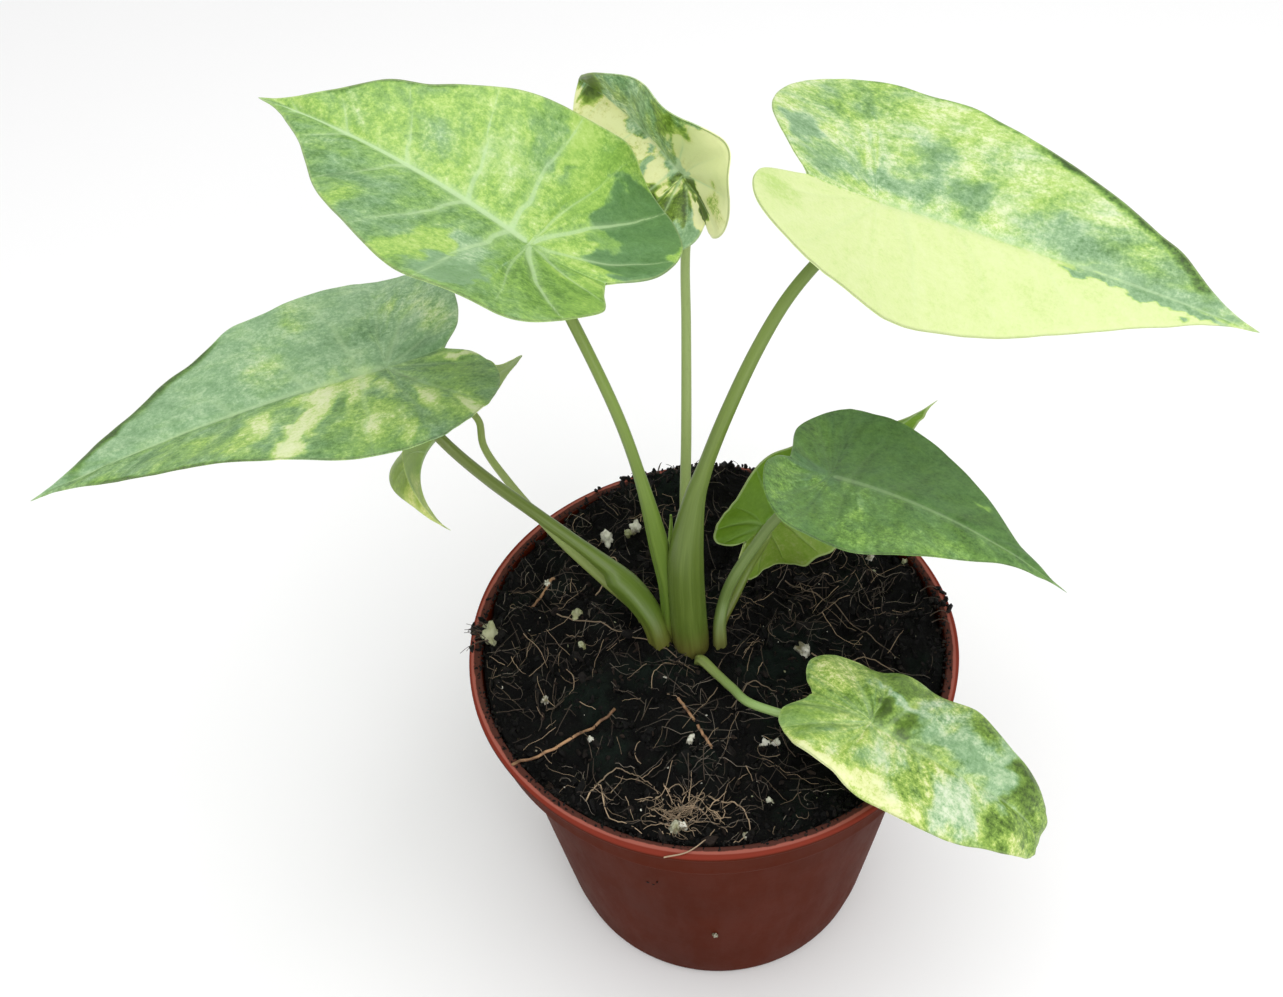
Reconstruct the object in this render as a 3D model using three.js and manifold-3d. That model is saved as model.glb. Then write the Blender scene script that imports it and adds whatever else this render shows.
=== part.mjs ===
// A variegated dwarf alocasia with eight leaves, in a round nursery pot filled with coarse soil.
// Millimetres, +Z up. The origin is the centre of the pot's flat underside. -Y is the front, +X the right.

import * as THREE from "three";
import Module from "manifold-3d";

const wasm = await Module();
wasm.setup();

// Driving sizes
const POT_HEIGHT = 97;
const RIM_RADIUS = 60; // outside of the lip
const BASE_RADIUS = 42.9;
const COLLAR_DROP = 12.5; // from the rim down to the step under the collar
const STEP_RADIUS = 53.6; // outside of the straight body, under the step
const WALL = 1.5;
const FLOOR = 2;
const LIP_WIDTH = 2;
const LIP_ROUND = 0.8;
const LIP_DEPTH = 2.2;
const COLLAR_TAPER = 0.7; // how much less the radius of the collar is at its foot
const FOOT_ROUND = 3;
const DRAIN_RADIUS = 4;
const DRAIN_CIRCLE = 32;
const DRAIN_COUNT = 8;
const GAP = 0.3; // air between two pieces that touch in the real plant
const BLADE_THICKNESS = 0.8;
const SOIL_DROP = 3; // from the rim down to the soil
const MIDRIB_DEPTH = 1; // how far the midrib stands out under a blade, at the stalk
const ROOT_DEPTH = 10; // how far the stalks go down into the soil

// Fineness of the facets
const POT_FACETS = 48;
const SOIL_RINGS = [8, 16, 25, 34, 43, 50];
const BLADE_ROWS = 20;
const ACROSS_BLADE = [0, 0.07, 0.38, 0.72, 1]; // places on a rib, from midrib to margin
const STALK_SIDES = 10;
const STALK_RINGS = 15;

// Half of a flat blade from its tip to its notch. Along the midrib the unit is the length ahead of the
// stalk, or that of the lobe behind it; across it is the half width.
const POINTED_HALF = [
  [1, 0],
  [0.9, 0.055],
  [0.75, 0.23],
  [0.55, 0.56],
  [0.3, 0.86],
  [0.05, 1],
  [-0.35, 0.985],
  [-0.75, 0.8],
  [-1, 0.47],
  [-0.9, 0.17],
];
const BLUNT_START = [
  [1, 0],
  [0.97, 0.3],
  [0.85, 0.62],
  [0.55, 0.9],
  [0.3, 1],
];

// Each leaf by its place on the plant. Angles are in degrees, and pairs are its left and right half.
//   stalk     points that the stalk passes through; the last is where the blade joins
//   radii     stalk radius at the soil and at the blade; sheath is [extra radius, share of the stalk]
//   heading, pitch, roll   how the blade is turned where the stalk joins it
//   length, lobes, widths  size ahead of the stalk, behind it and to each side
//   notch     how deep the lobes are joined, as a share of the lobes
//   drawn     how full each half is near its tip
//   shoulder  what is added to the half width at 0.55 and at 0.3 of the length
//   blunt     how much of the blunt start the outline has
//   droop, sweep, twist    how the blade bends down, turns aside and twists on the way to its tip
//   rise      how the lobes tilt down behind the stalk
//   fold, cup how each half lifts at the midrib, and how much it curls on to its margin
//   lift      extra height of the lobes
//   wave      height, count and phase of the waves of the margin
const TOP = POT_HEIGHT;
const LEAVES = {
  upper_left: {
    stalk: [
      [-9.2, 3.2, TOP - ROOT_DEPTH],
      [-9.3, 2.7, TOP],
      [-9.3, 3.9, TOP + 14],
      [-10.7, 5, TOP + 26],
      [-14.1, 6.1, TOP + 50],
      [-18.1, 8.5, TOP + 68],
      [-25.7, 16, TOP + 88],
      [-29, 17, TOP + 97],
      [-32.3, 19.2, TOP + 105],
    ],
    radii: [1.5, 1.2],
    sheath: [1, 0.55],
    turned: { heading: 151.5, pitch: 30, roll: 18.5 },
    length: 67,
    lobes: [20, 29.5],
    widths: [38, 39.5],
    notch: 0.68,
    drawn: [0.8, 1],
    shoulder: [-0.065, -0.08],
    droop: 24.5,
    sweep: -15.5,
    twist: -35.5,
    rise: -27,
    fold: [1.5, 14.5],
    cup: [8, 11],
    lift: [-3.5, 1.5],
    wave: [1, 2.6, 58],
  },
  upper_right: {
    stalk: [
      [-4.8, -0.6, TOP - ROOT_DEPTH],
      [-4.8, -0.6, TOP],
      [-5.1, 0.3, TOP + 10],
      [-4.9, 2.7, TOP + 28],
      [-2.5, 5.4, TOP + 43],
      [0, 6.7, TOP + 51],
      [4.9, 8.1, TOP + 65],
      [12.1, 13.6, TOP + 78],
      [18.7, 17.2, TOP + 88],
      [25.1, 19.1, TOP + 95.5],
      [37.6, 26.9, TOP + 104],
    ],
    radii: [2.2, 1.15],
    sheath: [2.2, 0.5],
    turned: { heading: -7.5, pitch: -19, roll: 5 },
    length: 80.5,
    lobes: [21, 31],
    widths: [40.5, 34.5],
    notch: 0.59,
    drawn: [1.2, 1.15],
    shoulder: [-0.04, -0.05],
    droop: -14,
    sweep: -29,
    twist: 27.5,
    rise: -25.5,
    fold: [3.5, 1],
    cup: [-8, 0],
    lift: [1, -5],
    wave: [1, 1, 42],
  },
  low_left: {
    stalk: [
      [-12.3, 0.3, TOP - ROOT_DEPTH],
      [-12.5, 0.7, TOP],
      [-13.8, 3.3, TOP + 5],
      [-18.1, 8, TOP + 11],
      [-25.5, 11.6, TOP + 18],
      [-38.9, 16.1, TOP + 30.5],
      [-49.4, 17.2, TOP + 43],
      [-57.9, 18.5, TOP + 55],
      [-68.6, 30, TOP + 68],
    ],
    radii: [1.9, 1.15],
    sheath: [1, 0.42],
    turned: { heading: 198, pitch: 1.5, roll: 9 },
    length: 80,
    lobes: [21.5, 21],
    widths: [36.5, 36.5],
    notch: 0.62,
    drawn: [1.45, 1.45],
    shoulder: [0, -0.02],
    droop: 10,
    sweep: 6,
    twist: 5,
    rise: -18,
    fold: [5, 10.5],
    cup: [-1, -5.5],
    lift: [-5.5, 1],
    wave: [2.3, 1.15, -153],
  },
  back: {
    stalk: [
      [-5, 7.6, TOP - ROOT_DEPTH],
      [-5, 8.4, TOP],
      [-3.9, 21.9, TOP + 22],
      [-2.5, 30, TOP + 38],
      [-1.5, 37.4, TOP + 50],
      [-0.6, 44.6, TOP + 62.5],
      [0.2, 50.5, TOP + 78],
      [0.4, 53.4, TOP + 96],
    ],
    radii: [1.5, 1],
    sheath: [0.2, 0.3],
    turned: { heading: 135, pitch: 38, roll: -82 },
    length: 32,
    lobes: [18, 19],
    widths: [22.5, 22.5],
    notch: 0.62,
    blunt: 0.78,
    shoulder: [0, -0.03],
    droop: -16,
    droopPower: 3,
    sweep: 17,
    twist: -11,
    rise: -43,
    fold: [35, 31],
    cup: [-13, -15],
    lift: [0.5, 1],
    wave: [2.3, 1.5, -162],
  },
  right: {
    stalk: [
      [2.2, -1.9, TOP - ROOT_DEPTH],
      [2.1, -2, TOP],
      [2.3, 0, TOP + 5],
      [3.7, 2.9, TOP + 9.5],
      [6, 4.1, TOP + 16],
      [11, 6.2, TOP + 24],
      [17.8, 7.8, TOP + 33.5],
      [28.4, 8.9, TOP + 44],
    ],
    radii: [1.6, 1.1],
    sheath: [0.2, 0.3],
    turned: { heading: -26, pitch: 0, roll: -14 },
    length: 57.5,
    lobes: [11.5, 14.5],
    widths: [25.5, 26],
    notch: 0.75,
    drawn: [0.8, 0.8],
    shoulder: [0, 0.08],
    droop: 20,
    sweep: -14,
    twist: 1,
    rise: -39,
    fold: [-6, -4],
    cup: [26, 12],
    lift: [0.5, 1],
    wave: [1.3, 1.6, 49],
  },
  behind_right: {
    stalk: [
      [3, 3.6, TOP - ROOT_DEPTH],
      [3.2, 3.8, TOP],
      [6.8, 8.4, TOP + 4],
      [11.2, 13.4, TOP + 9.5],
      [15.1, 19.8, TOP + 17],
    ],
    radii: [1.3, 0.9],
    sheath: [0.1, 0.3],
    turned: { heading: 18, pitch: 30.5, roll: -100 },
    length: 56,
    lobes: [13.5, 10.5],
    widths: [15.5, 12.5],
    notch: 0.48,
    shoulder: [0, 0.03],
    droop: -24,
    sweep: 28,
    twist: -91,
    rise: 26,
    fold: [5, 20],
    cup: [-24, -17],
    lift: [-3, 2],
    wave: [2.6, 1.9, -161],
  },
  front: {
    stalk: [
      [-3.4, -6.8, TOP - ROOT_DEPTH + 2],
      [-3.2, -7, TOP],
      [0.3, -12.7, TOP + 1.5],
      [3.3, -18.4, TOP + 3.5],
      [7.3, -25.9, TOP + 7],
      [31.7, -36.8, TOP + 13],
    ],
    radii: [1.2, 0.9],
    sheath: [0.1, 0.3],
    turned: { heading: -38, pitch: -12, roll: -7 },
    length: 54,
    lobes: [20.5, 16.5],
    widths: [21, 19],
    notch: 0.79,
    blunt: 0.42,
    shoulder: [0, 0.04],
    droop: 105,
    droopPower: 3.5,
    sweep: 21,
    twist: 24,
    rise: 39,
    fold: [0.5, 12],
    cup: [-31, -15],
    lift: [5.5, -1.5],
    wave: [1.2, 2.6, 57],
  },
  hanging: {
    stalk: [
      [-16, 8, TOP - ROOT_DEPTH],
      [-16.5, 8.4, TOP],
      [-25, 15, TOP + 6],
      [-35.4, 22.9, TOP + 14],
      [-46.9, 33.4, TOP + 25],
      [-52.6, 40.7, TOP + 31.5],
      [-55.1, 47.6, TOP + 37.5],
    ],
    radii: [1.4, 0.9],
    sheath: [0.2, 0.25],
    turned: { heading: 221, pitch: 2.5, roll: 52.5 },
    length: 42,
    lobes: [18, 17],
    widths: [17, 18.5],
    notch: 0.53,
    drawn: [0.84, 0.84],
    shoulder: [0, -0.03],
    droop: 127.5,
    droopPower: 1.85,
    sweep: 30,
    twist: 33.5,
    rise: -36.5,
    fold: [36, 37.5],
    cup: [-16.5, -35.5],
    lift: [-6.5, 1.5],
    wave: [1.7, 1.6, 30],
  },
};
const LEAF_DEFAULTS = { drawn: [1, 1], shoulder: [0, 0], blunt: 0, droopPower: 1, lift: [0, 0] };

const COLOURS = {
  pot: "#7a3526",
  soil: "#1d1a17",
  blade: "#6f9350",
  palePart: "#b9c97c",
  stalk: "#6f8f3c",
};

const rad = THREE.MathUtils.degToRad;
const mean = (pair) => (pair[0] + pair[1]) / 2;

function geometryOf(points, triangles) {
  const geometry = new THREE.BufferGeometry();
  const flat = points.flatMap((p) => [p.x, p.y, p.z]);
  geometry.setAttribute("position", new THREE.Float32BufferAttribute(flat, 3));
  geometry.setIndex(triangles.flat());
  return geometry;
}

function manifoldOf(geometry) {
  const mesh = new wasm.Mesh({
    numProp: 3,
    vertProperties: new Float32Array(geometry.getAttribute("position").array),
    triVerts: new Uint32Array(geometry.getIndex().array),
  });
  return new wasm.Manifold(mesh);
}

// The largest single body of a solid: a cut can leave crumbs.
function largestBody(solid) {
  const bodies = solid.decompose();
  bodies.sort((a, b) => b.volume() - a.volume());
  return bodies[0];
}

function geometryFrom(solid) {
  const mesh = solid.getMesh();
  const geometry = new THREE.BufferGeometry();
  geometry.setAttribute("position", new THREE.Float32BufferAttribute(mesh.vertProperties, 3));
  geometry.setIndex([...mesh.triVerts]);
  return geometry;
}

function addNode(group, name, geometry, colour, roughness = 0.6) {
  const smooth = geometry.clone();
  smooth.computeVertexNormals();
  const mesh = new THREE.Mesh(smooth, new THREE.MeshStandardMaterial({ color: colour, roughness }));
  mesh.name = name;
  group.add(mesh);
}

// Bodies of revolution

// A closed solid from a profile of [radius, z] points that starts and ends on the axis.
function revolve(profile, facets) {
  const points = [];
  const rings = profile.map(([radius, z]) => {
    const count = radius === 0 ? 1 : facets;
    const first = points.length;
    for (let i = 0; i < count; i++) {
      const angle = (2 * Math.PI * i) / facets;
      points.push(new THREE.Vector3(radius * Math.cos(angle), radius * Math.sin(angle), z));
    }
    return { first, count };
  });
  return geometryOf(points, ringTriangles(rings, facets));
}

// Triangles between rings of points, where a ring of one point is a pole.
function ringTriangles(rings, facets) {
  const triangles = [];
  const at = (ring, i) => ring.first + (ring.count === 1 ? 0 : i % facets);
  for (let k = 0; k + 1 < rings.length; k++) {
    for (let i = 0; i < facets; i++) {
      const [a, b] = [at(rings[k], i), at(rings[k], i + 1)];
      const [c, d] = [at(rings[k + 1], i + 1), at(rings[k + 1], i)];
      if (a !== b) triangles.push([a, b, c]);
      if (c !== d) triangles.push([a, c, d]);
    }
  }
  return triangles;
}

function arc(centre, radius, from, to, steps) {
  const points = [];
  for (let i = 0; i <= steps; i++) {
    const angle = rad(from + ((to - from) * i) / steps);
    points.push([centre[0] + radius * Math.cos(angle), centre[1] + radius * Math.sin(angle)]);
  }
  return points;
}

// Outside radius of the straight body of the pot at a height.
const STEP_Z = POT_HEIGHT - COLLAR_DROP;
const COLLAR_RADIUS = RIM_RADIUS - LIP_WIDTH + 0.4;
function bodyRadius(z) {
  return BASE_RADIUS + ((STEP_RADIUS - BASE_RADIUS) * z) / STEP_Z;
}

// The pot in section, up the outside from the centre of its base, over the lip and down the inside.
const COLLAR_FOOT = COLLAR_RADIUS - COLLAR_TAPER;
const INNER_ROUND = FOOT_ROUND - 0.6;
function makePot() {
  const profile = [
    [0, 0],
    ...arc([bodyRadius(0) - FOOT_ROUND, FOOT_ROUND], FOOT_ROUND, -90, 0, 4),
    [STEP_RADIUS, STEP_Z],
    [COLLAR_FOOT, STEP_Z + 0.6],
    [COLLAR_RADIUS, POT_HEIGHT - LIP_DEPTH],
    ...arc([RIM_RADIUS - LIP_ROUND, POT_HEIGHT - LIP_ROUND], LIP_ROUND, -80, 90, 4),
    [RIM_RADIUS - LIP_WIDTH - GAP, POT_HEIGHT],
    [COLLAR_RADIUS - WALL, POT_HEIGHT - 1],
    [COLLAR_FOOT - WALL, STEP_Z - 0.4],
    [STEP_RADIUS - WALL, STEP_Z - 1.4],
    ...arc([bodyRadius(0) - WALL - INNER_ROUND, FLOOR + INNER_ROUND], INNER_ROUND, 0, -90, 3),
    [0, FLOOR],
  ];
  let pot = manifoldOf(revolve(profile, POT_FACETS));
  for (let i = 0; i < DRAIN_COUNT; i++) {
    const angle = (2 * Math.PI * (i + 0.5)) / DRAIN_COUNT;
    const hole = revolve(
      [
        [0, -1],
        [DRAIN_RADIUS, -1],
        [DRAIN_RADIUS, FLOOR + 1],
        [0, FLOOR + 1],
      ],
      12,
    );
    hole.translate(DRAIN_CIRCLE * Math.cos(angle), DRAIN_CIRCLE * Math.sin(angle), 0);
    pot = pot.subtract(manifoldOf(hole));
  }
  return geometryFrom(pot);
}

// Soil

// Inside radius of the pot less the gap, at a height above the floor.
function soilRadius(z) {
  if (z > STEP_Z) return COLLAR_FOOT - WALL - GAP;
  return bodyRadius(z) - WALL - GAP;
}

// Height of the soil: level below the rim, mounded at the stalks and heaped up at the back, with clods.
function soilHeight(x, y) {
  const mound = hill(2.6, 26, x + 6, y - 1);
  const heap = hill(4.6, 24, x - 2, 1.3 * (y - 52));
  const clods = Math.sin(x * 0.31 + 1.3) * Math.cos(y * 0.27) + 0.7 * Math.sin(x * 0.53 - y * 0.41);
  return POT_HEIGHT - SOIL_DROP + mound + heap + 0.5 * clods;
}

// A round hill of a height and a radius, at an offset from its top.
function hill(height, radius, x, y) {
  return height * Math.exp(-((x * x + y * y) / (radius * radius)));
}

function makeSoil(stalkHoles) {
  const points = [];
  const rings = [];
  const addRing = (radius, height) => {
    const count = radius === 0 ? 1 : POT_FACETS;
    rings.push({ first: points.length, count });
    for (let i = 0; i < count; i++) {
      const angle = (2 * Math.PI * i) / POT_FACETS;
      const [x, y] = [radius * Math.cos(angle), radius * Math.sin(angle)];
      points.push(new THREE.Vector3(x, y, height(x, y)));
    }
  };
  const base = FLOOR + GAP;
  addRing(0, () => base);
  const foot = arc([soilRadius(0) - INNER_ROUND, base + INNER_ROUND], INNER_ROUND, -90, 0, 3);
  for (const [radius, z] of foot) addRing(radius, () => z);
  addRing(soilRadius(STEP_Z - 3), () => STEP_Z - 3);
  addRing(soilRadius(STEP_Z - 3) + 0.2, () => STEP_Z - 1);
  addRing(soilRadius(POT_HEIGHT) - 0.3, () => STEP_Z + 1.2);
  addRing(soilRadius(POT_HEIGHT), soilHeight);
  for (const radius of [...SOIL_RINGS].reverse()) addRing(radius, soilHeight);
  addRing(0, soilHeight);
  const soil = manifoldOf(geometryOf(points, ringTriangles(rings, POT_FACETS)));
  return geometryFrom(largestBody(stalkHoles.reduce((solid, hole) => solid.subtract(hole), soil)));
}

// Leaf blades

// A point on the smooth line through a list of points; place runs from 0 to 1.
function spline(points, place) {
  const last = points.length - 1;
  const index = Math.min(Math.floor(place * last), last - 1);
  const f = place * last - index;
  const get = (i) => {
    if (i < 0) return points[0].map((v, k) => 2 * v - points[1][k]);
    if (i > last) return points[last].map((v, k) => 2 * v - points[last - 1][k]);
    return points[i];
  };
  const [p0, p1, p2, p3] = [get(index - 1), get(index), get(index + 1), get(index + 2)];
  return p1.map((v, k) => {
    const cubic = -p0[k] + 3 * v - 3 * p2[k] + p3[k];
    const square = 2 * p0[k] - 5 * v + 4 * p2[k] - p3[k];
    return 0.5 * (2 * v + (-p0[k] + p2[k]) * f + square * f * f + cubic * f * f * f);
  });
}

// The unit outline of one leaf's half blade, from tip to notch.
function unitOutline(leaf, side) {
  const outline = POINTED_HALF.map(([u, v]) => [u, v]);
  outline[1][1] *= leaf.drawn[side];
  outline[2][1] *= leaf.drawn[side] ** 0.8;
  BLUNT_START.forEach(([u, v], i) => {
    outline[i][0] += leaf.blunt * (u - outline[i][0]);
    outline[i][1] += leaf.blunt * (v - outline[i][1]);
  });
  outline[3][1] += leaf.shoulder[0];
  outline[4][1] += leaf.shoulder[1];
  outline.push([-leaf.notch, 0]);
  return outline;
}

// Flat places of a half blade: on row s (0 tip, 1 notch) at share t of the way from midrib to margin.
function flatPlace(leaf, side, s, t) {
  const unit = unitOutline(leaf, side);
  const notch = -leaf.notch * mean(leaf.lobes);
  const sized = unit.map(([u, v]) => [u > 0 ? u * leaf.length : u * leaf.lobes[side], v * leaf.widths[side]]);
  sized[sized.length - 1] = [notch, 0];
  const [along, across] = spline(sized, s);
  const u = spline(unit, s)[0];
  const stalkRow = 5.125 / (unit.length - 1); // the row whose rib starts at the stalk
  const past = Math.max(0, (s - stalkRow) / (1 - stalkRow));
  const root = s < stalkRow ? leaf.length * Math.max(u, 0) * (0.35 + 0.65 * u) : notch * past ** 1.6;
  return [root + (along - root) * t, Math.abs(across) * t];
}

// Direction of the midrib at a distance from the stalk, in the blade's own frame.
function midribDirection(leaf, along) {
  const u = along / leaf.length;
  const pitch = u > 0 ? -rad(leaf.droop) * u ** leaf.droopPower : (rad(leaf.rise) * -along) / mean(leaf.lobes);
  const yaw = rad(leaf.sweep) * u;
  return new THREE.Vector3(Math.cos(pitch) * Math.cos(yaw), Math.cos(pitch) * Math.sin(yaw), Math.sin(pitch));
}

function midribPoint(leaf, along) {
  const steps = 24;
  const point = new THREE.Vector3();
  for (let i = 0; i < steps; i++) {
    point.addScaledVector(midribDirection(leaf, (along * (i + 0.5)) / steps), along / steps);
  }
  return point;
}

// Bends a flat place of a half blade into its place in the blade's own frame.
function bent(leaf, side, along, across) {
  const u = along / leaf.length;
  const direction = midribDirection(leaf, along);
  const yaw = rad(leaf.sweep) * u;
  const sideways = new THREE.Vector3(-Math.sin(yaw), Math.cos(yaw), 0);
  const up = new THREE.Vector3().crossVectors(direction, sideways);
  const twist = rad(leaf.twist) * THREE.MathUtils.clamp(u, -1, 1);
  sideways.applyAxisAngle(direction, twist);
  up.applyAxisAngle(direction, twist);

  const width = leaf.widths[side];
  const fold = rad(leaf.fold[side]);
  const curl = (rad(leaf.cup[side]) || 1e-6) / width;
  const out = (Math.sin(fold + curl * across) - Math.sin(fold)) / curl;
  let height = (Math.cos(fold) - Math.cos(fold + curl * across)) / curl;
  const behind = THREE.MathUtils.clamp(-along / mean(leaf.lobes), 0, 1.2);
  height += leaf.lift[side] * behind ** 2 * Math.sqrt(across / width);
  const [waveHeight, waveCount, wavePhase] = leaf.wave;
  const phase = rad(wavePhase) + (side === 0 ? 0 : 0.6 * Math.PI);
  height += waveHeight * (across / width) ** 2 * Math.sin(2 * Math.PI * waveCount * u + phase);

  const point = midribPoint(leaf, along);
  point.addScaledVector(sideways, side === 0 ? out : -out);
  return point.addScaledVector(up, height);
}

// The turn that brings the blade's own frame (tip along +X, upper face +Z) to the plant's.
function turnOf(leaf) {
  const { heading, pitch, roll } = leaf.turned;
  return new THREE.Quaternion().setFromEuler(new THREE.Euler(rad(roll), rad(-pitch), rad(heading), "ZYX"));
}

// The middle surface of a blade as points with their share across, triangles and the line of its margin.
function bladeSurface(leaf) {
  const points = [];
  const shares = [];
  const ids = new Map();
  const lastColumn = ACROSS_BLADE.length - 1;
  const turn = turnOf(leaf);
  const joint = new THREE.Vector3(...leaf.stalk.at(-1));
  const id = (side, row, column) => {
    const onEnd = row === 0 || row === BLADE_ROWS;
    const key = onEnd ? `end ${row}` : column === 0 ? `midrib ${row}` : `${side} ${row} ${column}`;
    if (!ids.has(key)) {
      const share = onEnd ? 0 : ACROSS_BLADE[column];
      const [along, across] = flatPlace(leaf, side, row / BLADE_ROWS, share);
      ids.set(key, points.length);
      points.push(bent(leaf, side, along, across).applyQuaternion(turn).add(joint));
      shares.push({ onMidrib: share === 0, along });
    }
    return ids.get(key);
  };
  const triangles = [];
  const addTriangle = (a, b, c) => {
    if (a !== b && b !== c && c !== a) triangles.push([a, b, c]);
  };
  for (const side of [0, 1]) {
    for (let row = 0; row < BLADE_ROWS; row++) {
      for (let column = 0; column < lastColumn; column++) {
        const [a, b] = [id(side, row, column), id(side, row + 1, column)];
        const [c, d] = [id(side, row + 1, column + 1), id(side, row, column + 1)];
        if (side === 0) {
          addTriangle(a, d, c);
          addTriangle(a, c, b);
        } else {
          addTriangle(a, b, c);
          addTriangle(a, c, d);
        }
      }
    }
  }
  const margin = [];
  for (let row = 0; row <= BLADE_ROWS; row++) margin.push(id(0, row, lastColumn));
  for (let row = BLADE_ROWS - 1; row > 0; row--) margin.push(id(1, row, lastColumn));
  return { points, shares, triangles, margin };
}

// A blade of even thickness with a midrib that stands out below, thickest at the stalk.
function makeBlade(leaf) {
  const { points, shares, triangles, margin } = bladeSurface(leaf);
  const surface = geometryOf(points, triangles);
  surface.computeVertexNormals();
  const normals = surface.getAttribute("normal");
  const top = [];
  const bottom = [];
  points.forEach((point, i) => {
    const normal = new THREE.Vector3().fromBufferAttribute(normals, i);
    const { onMidrib, along } = shares[i];
    const reach = along > 0 ? leaf.length : leaf.notch * mean(leaf.lobes);
    const rib = onMidrib ? MIDRIB_DEPTH * Math.max(0, 1 - Math.abs(along) / reach) : 0;
    top.push(point.clone().addScaledVector(normal, BLADE_THICKNESS / 2));
    bottom.push(point.clone().addScaledVector(normal, -BLADE_THICKNESS / 2 - rib));
  });
  const count = points.length;
  const faces = triangles.flatMap(([a, b, c]) => [
    [a, b, c],
    [a + count, c + count, b + count],
  ]);
  margin.forEach((a, i) => {
    const b = margin[(i + 1) % margin.length];
    faces.push([a + count, b + count, b], [a + count, b, a]);
  });
  return geometryOf([...top, ...bottom], faces);
}

// Leaf stalks

function stalkRadius(leaf, place) {
  const [low, high] = leaf.radii;
  const [extra, share] = leaf.sheath;
  const inSheath = THREE.MathUtils.smoothstep(1 - place / share, 0, 0.5);
  return high + (low - high) * (1 - place) + extra * inSheath;
}

// A stalk along its points. Its top ring lies against the underside of the blade, a gap away. With some
// room added it is the hole that the stalk stands in.
function makeStalk(leaf, room = 0) {
  const up = new THREE.Vector3(0, 0, 1).applyQuaternion(turnOf(leaf));
  const joint = new THREE.Vector3(...leaf.stalk.at(-1));
  const seat = joint.clone().addScaledVector(up, -(BLADE_THICKNESS / 2 + MIDRIB_DEPTH + GAP - room));
  const bend = seat.clone().addScaledVector(up, -2.2 * leaf.radii[1]);
  const path = leaf.stalk.slice(0, -1).map((p) => new THREE.Vector3(...p));
  path[0].z -= room;
  const curve = new THREE.CatmullRomCurve3([...path, bend, seat], false, "centripetal");
  const frames = curve.computeFrenetFrames(STALK_RINGS, false);
  const points = [new THREE.Vector3().copy(path[0])];
  const rings = [{ first: 0, count: 1 }];
  for (let k = 0; k <= STALK_RINGS; k++) {
    const centre = curve.getPointAt(k / STALK_RINGS);
    const radius = stalkRadius(leaf, k / STALK_RINGS) + room;
    rings.push({ first: points.length, count: STALK_SIDES });
    for (let i = 0; i < STALK_SIDES; i++) {
      const angle = (2 * Math.PI * i) / STALK_SIDES;
      const point = centre.clone();
      point.addScaledVector(frames.normals[k], radius * Math.cos(angle));
      point.addScaledVector(frames.binormals[k], radius * Math.sin(angle));
      if (k === STALK_RINGS) slideOntoPlane(point, frames.tangents[k], seat, up);
      points.push(point);
    }
  }
  rings.push({ first: points.length, count: 1 });
  points.push(seat.clone());
  return geometryOf(points, ringTriangles(rings, STALK_SIDES));
}

function slideOntoPlane(point, direction, onPlane, normal) {
  const off = onPlane.clone().sub(point).dot(normal);
  const slope = direction.dot(normal);
  if (Math.abs(slope) > 0.3) point.addScaledVector(direction, off / slope);
  else point.addScaledVector(normal, off);
}

// The small pointed scale that stands between the two tall stalks.
const SCALE = {
  stalk: [
    [-9.6, 7.4, TOP - ROOT_DEPTH],
    [-9.4, 7.6, TOP],
    [-8.8, 8.6, TOP + 16],
    [-7.8, 10.6, TOP + 34],
  ],
  radii: [2, 0.4],
  sheath: [0, 0.5],
  turned: { heading: 0, pitch: 0, roll: 0 },
};

// Assembly

const leaves = Object.entries(LEAVES).map(([name, own]) => [name, { ...LEAF_DEFAULTS, ...own }]);
const group = new THREE.Group();
const holes = [...leaves.map(([, leaf]) => leaf), SCALE].map((leaf) => manifoldOf(makeStalk(leaf, GAP)));

addNode(group, "pot", makePot(), COLOURS.pot, 0.45);
addNode(group, "soil", makeSoil(holes), COLOURS.soil, 0.95);

// Where sheaths press on each other at the crown, the stouter one keeps its shape.
const NESTING = ["upper_right", "upper_left", "low_left", "right", "back", "behind_right", "front", "hanging"];
const placed = [];
for (const name of NESTING) {
  const leaf = leaves.find(([key]) => key === name)[1];
  let stalk = manifoldOf(makeStalk(leaf));
  for (const hole of placed) stalk = stalk.subtract(hole);
  placed.push(manifoldOf(makeStalk(leaf, GAP)));
  addNode(group, `stalk_${name}`, geometryFrom(largestBody(stalk)), COLOURS.stalk);
  addNode(group, `blade_${name}`, makeBlade(leaf), COLOURS.blade);
}
const scale = placed.reduce((solid, hole) => solid.subtract(hole), manifoldOf(makeStalk(SCALE)));
addNode(group, "sheath_scale", geometryFrom(largestBody(scale)), COLOURS.palePart);

export default group;
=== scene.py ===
# The looks of a young potted alocasia with variegated leaves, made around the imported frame.
# Lengths are in millimetres and are turned into metres where a mesh is made.
# Left and right of a leaf are as seen from its stalk towards its tip, with its upper face up.

import math
import random
from functools import cache

import bmesh
import bpy
import numpy as np
from mathutils import Matrix, Vector, noise


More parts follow.
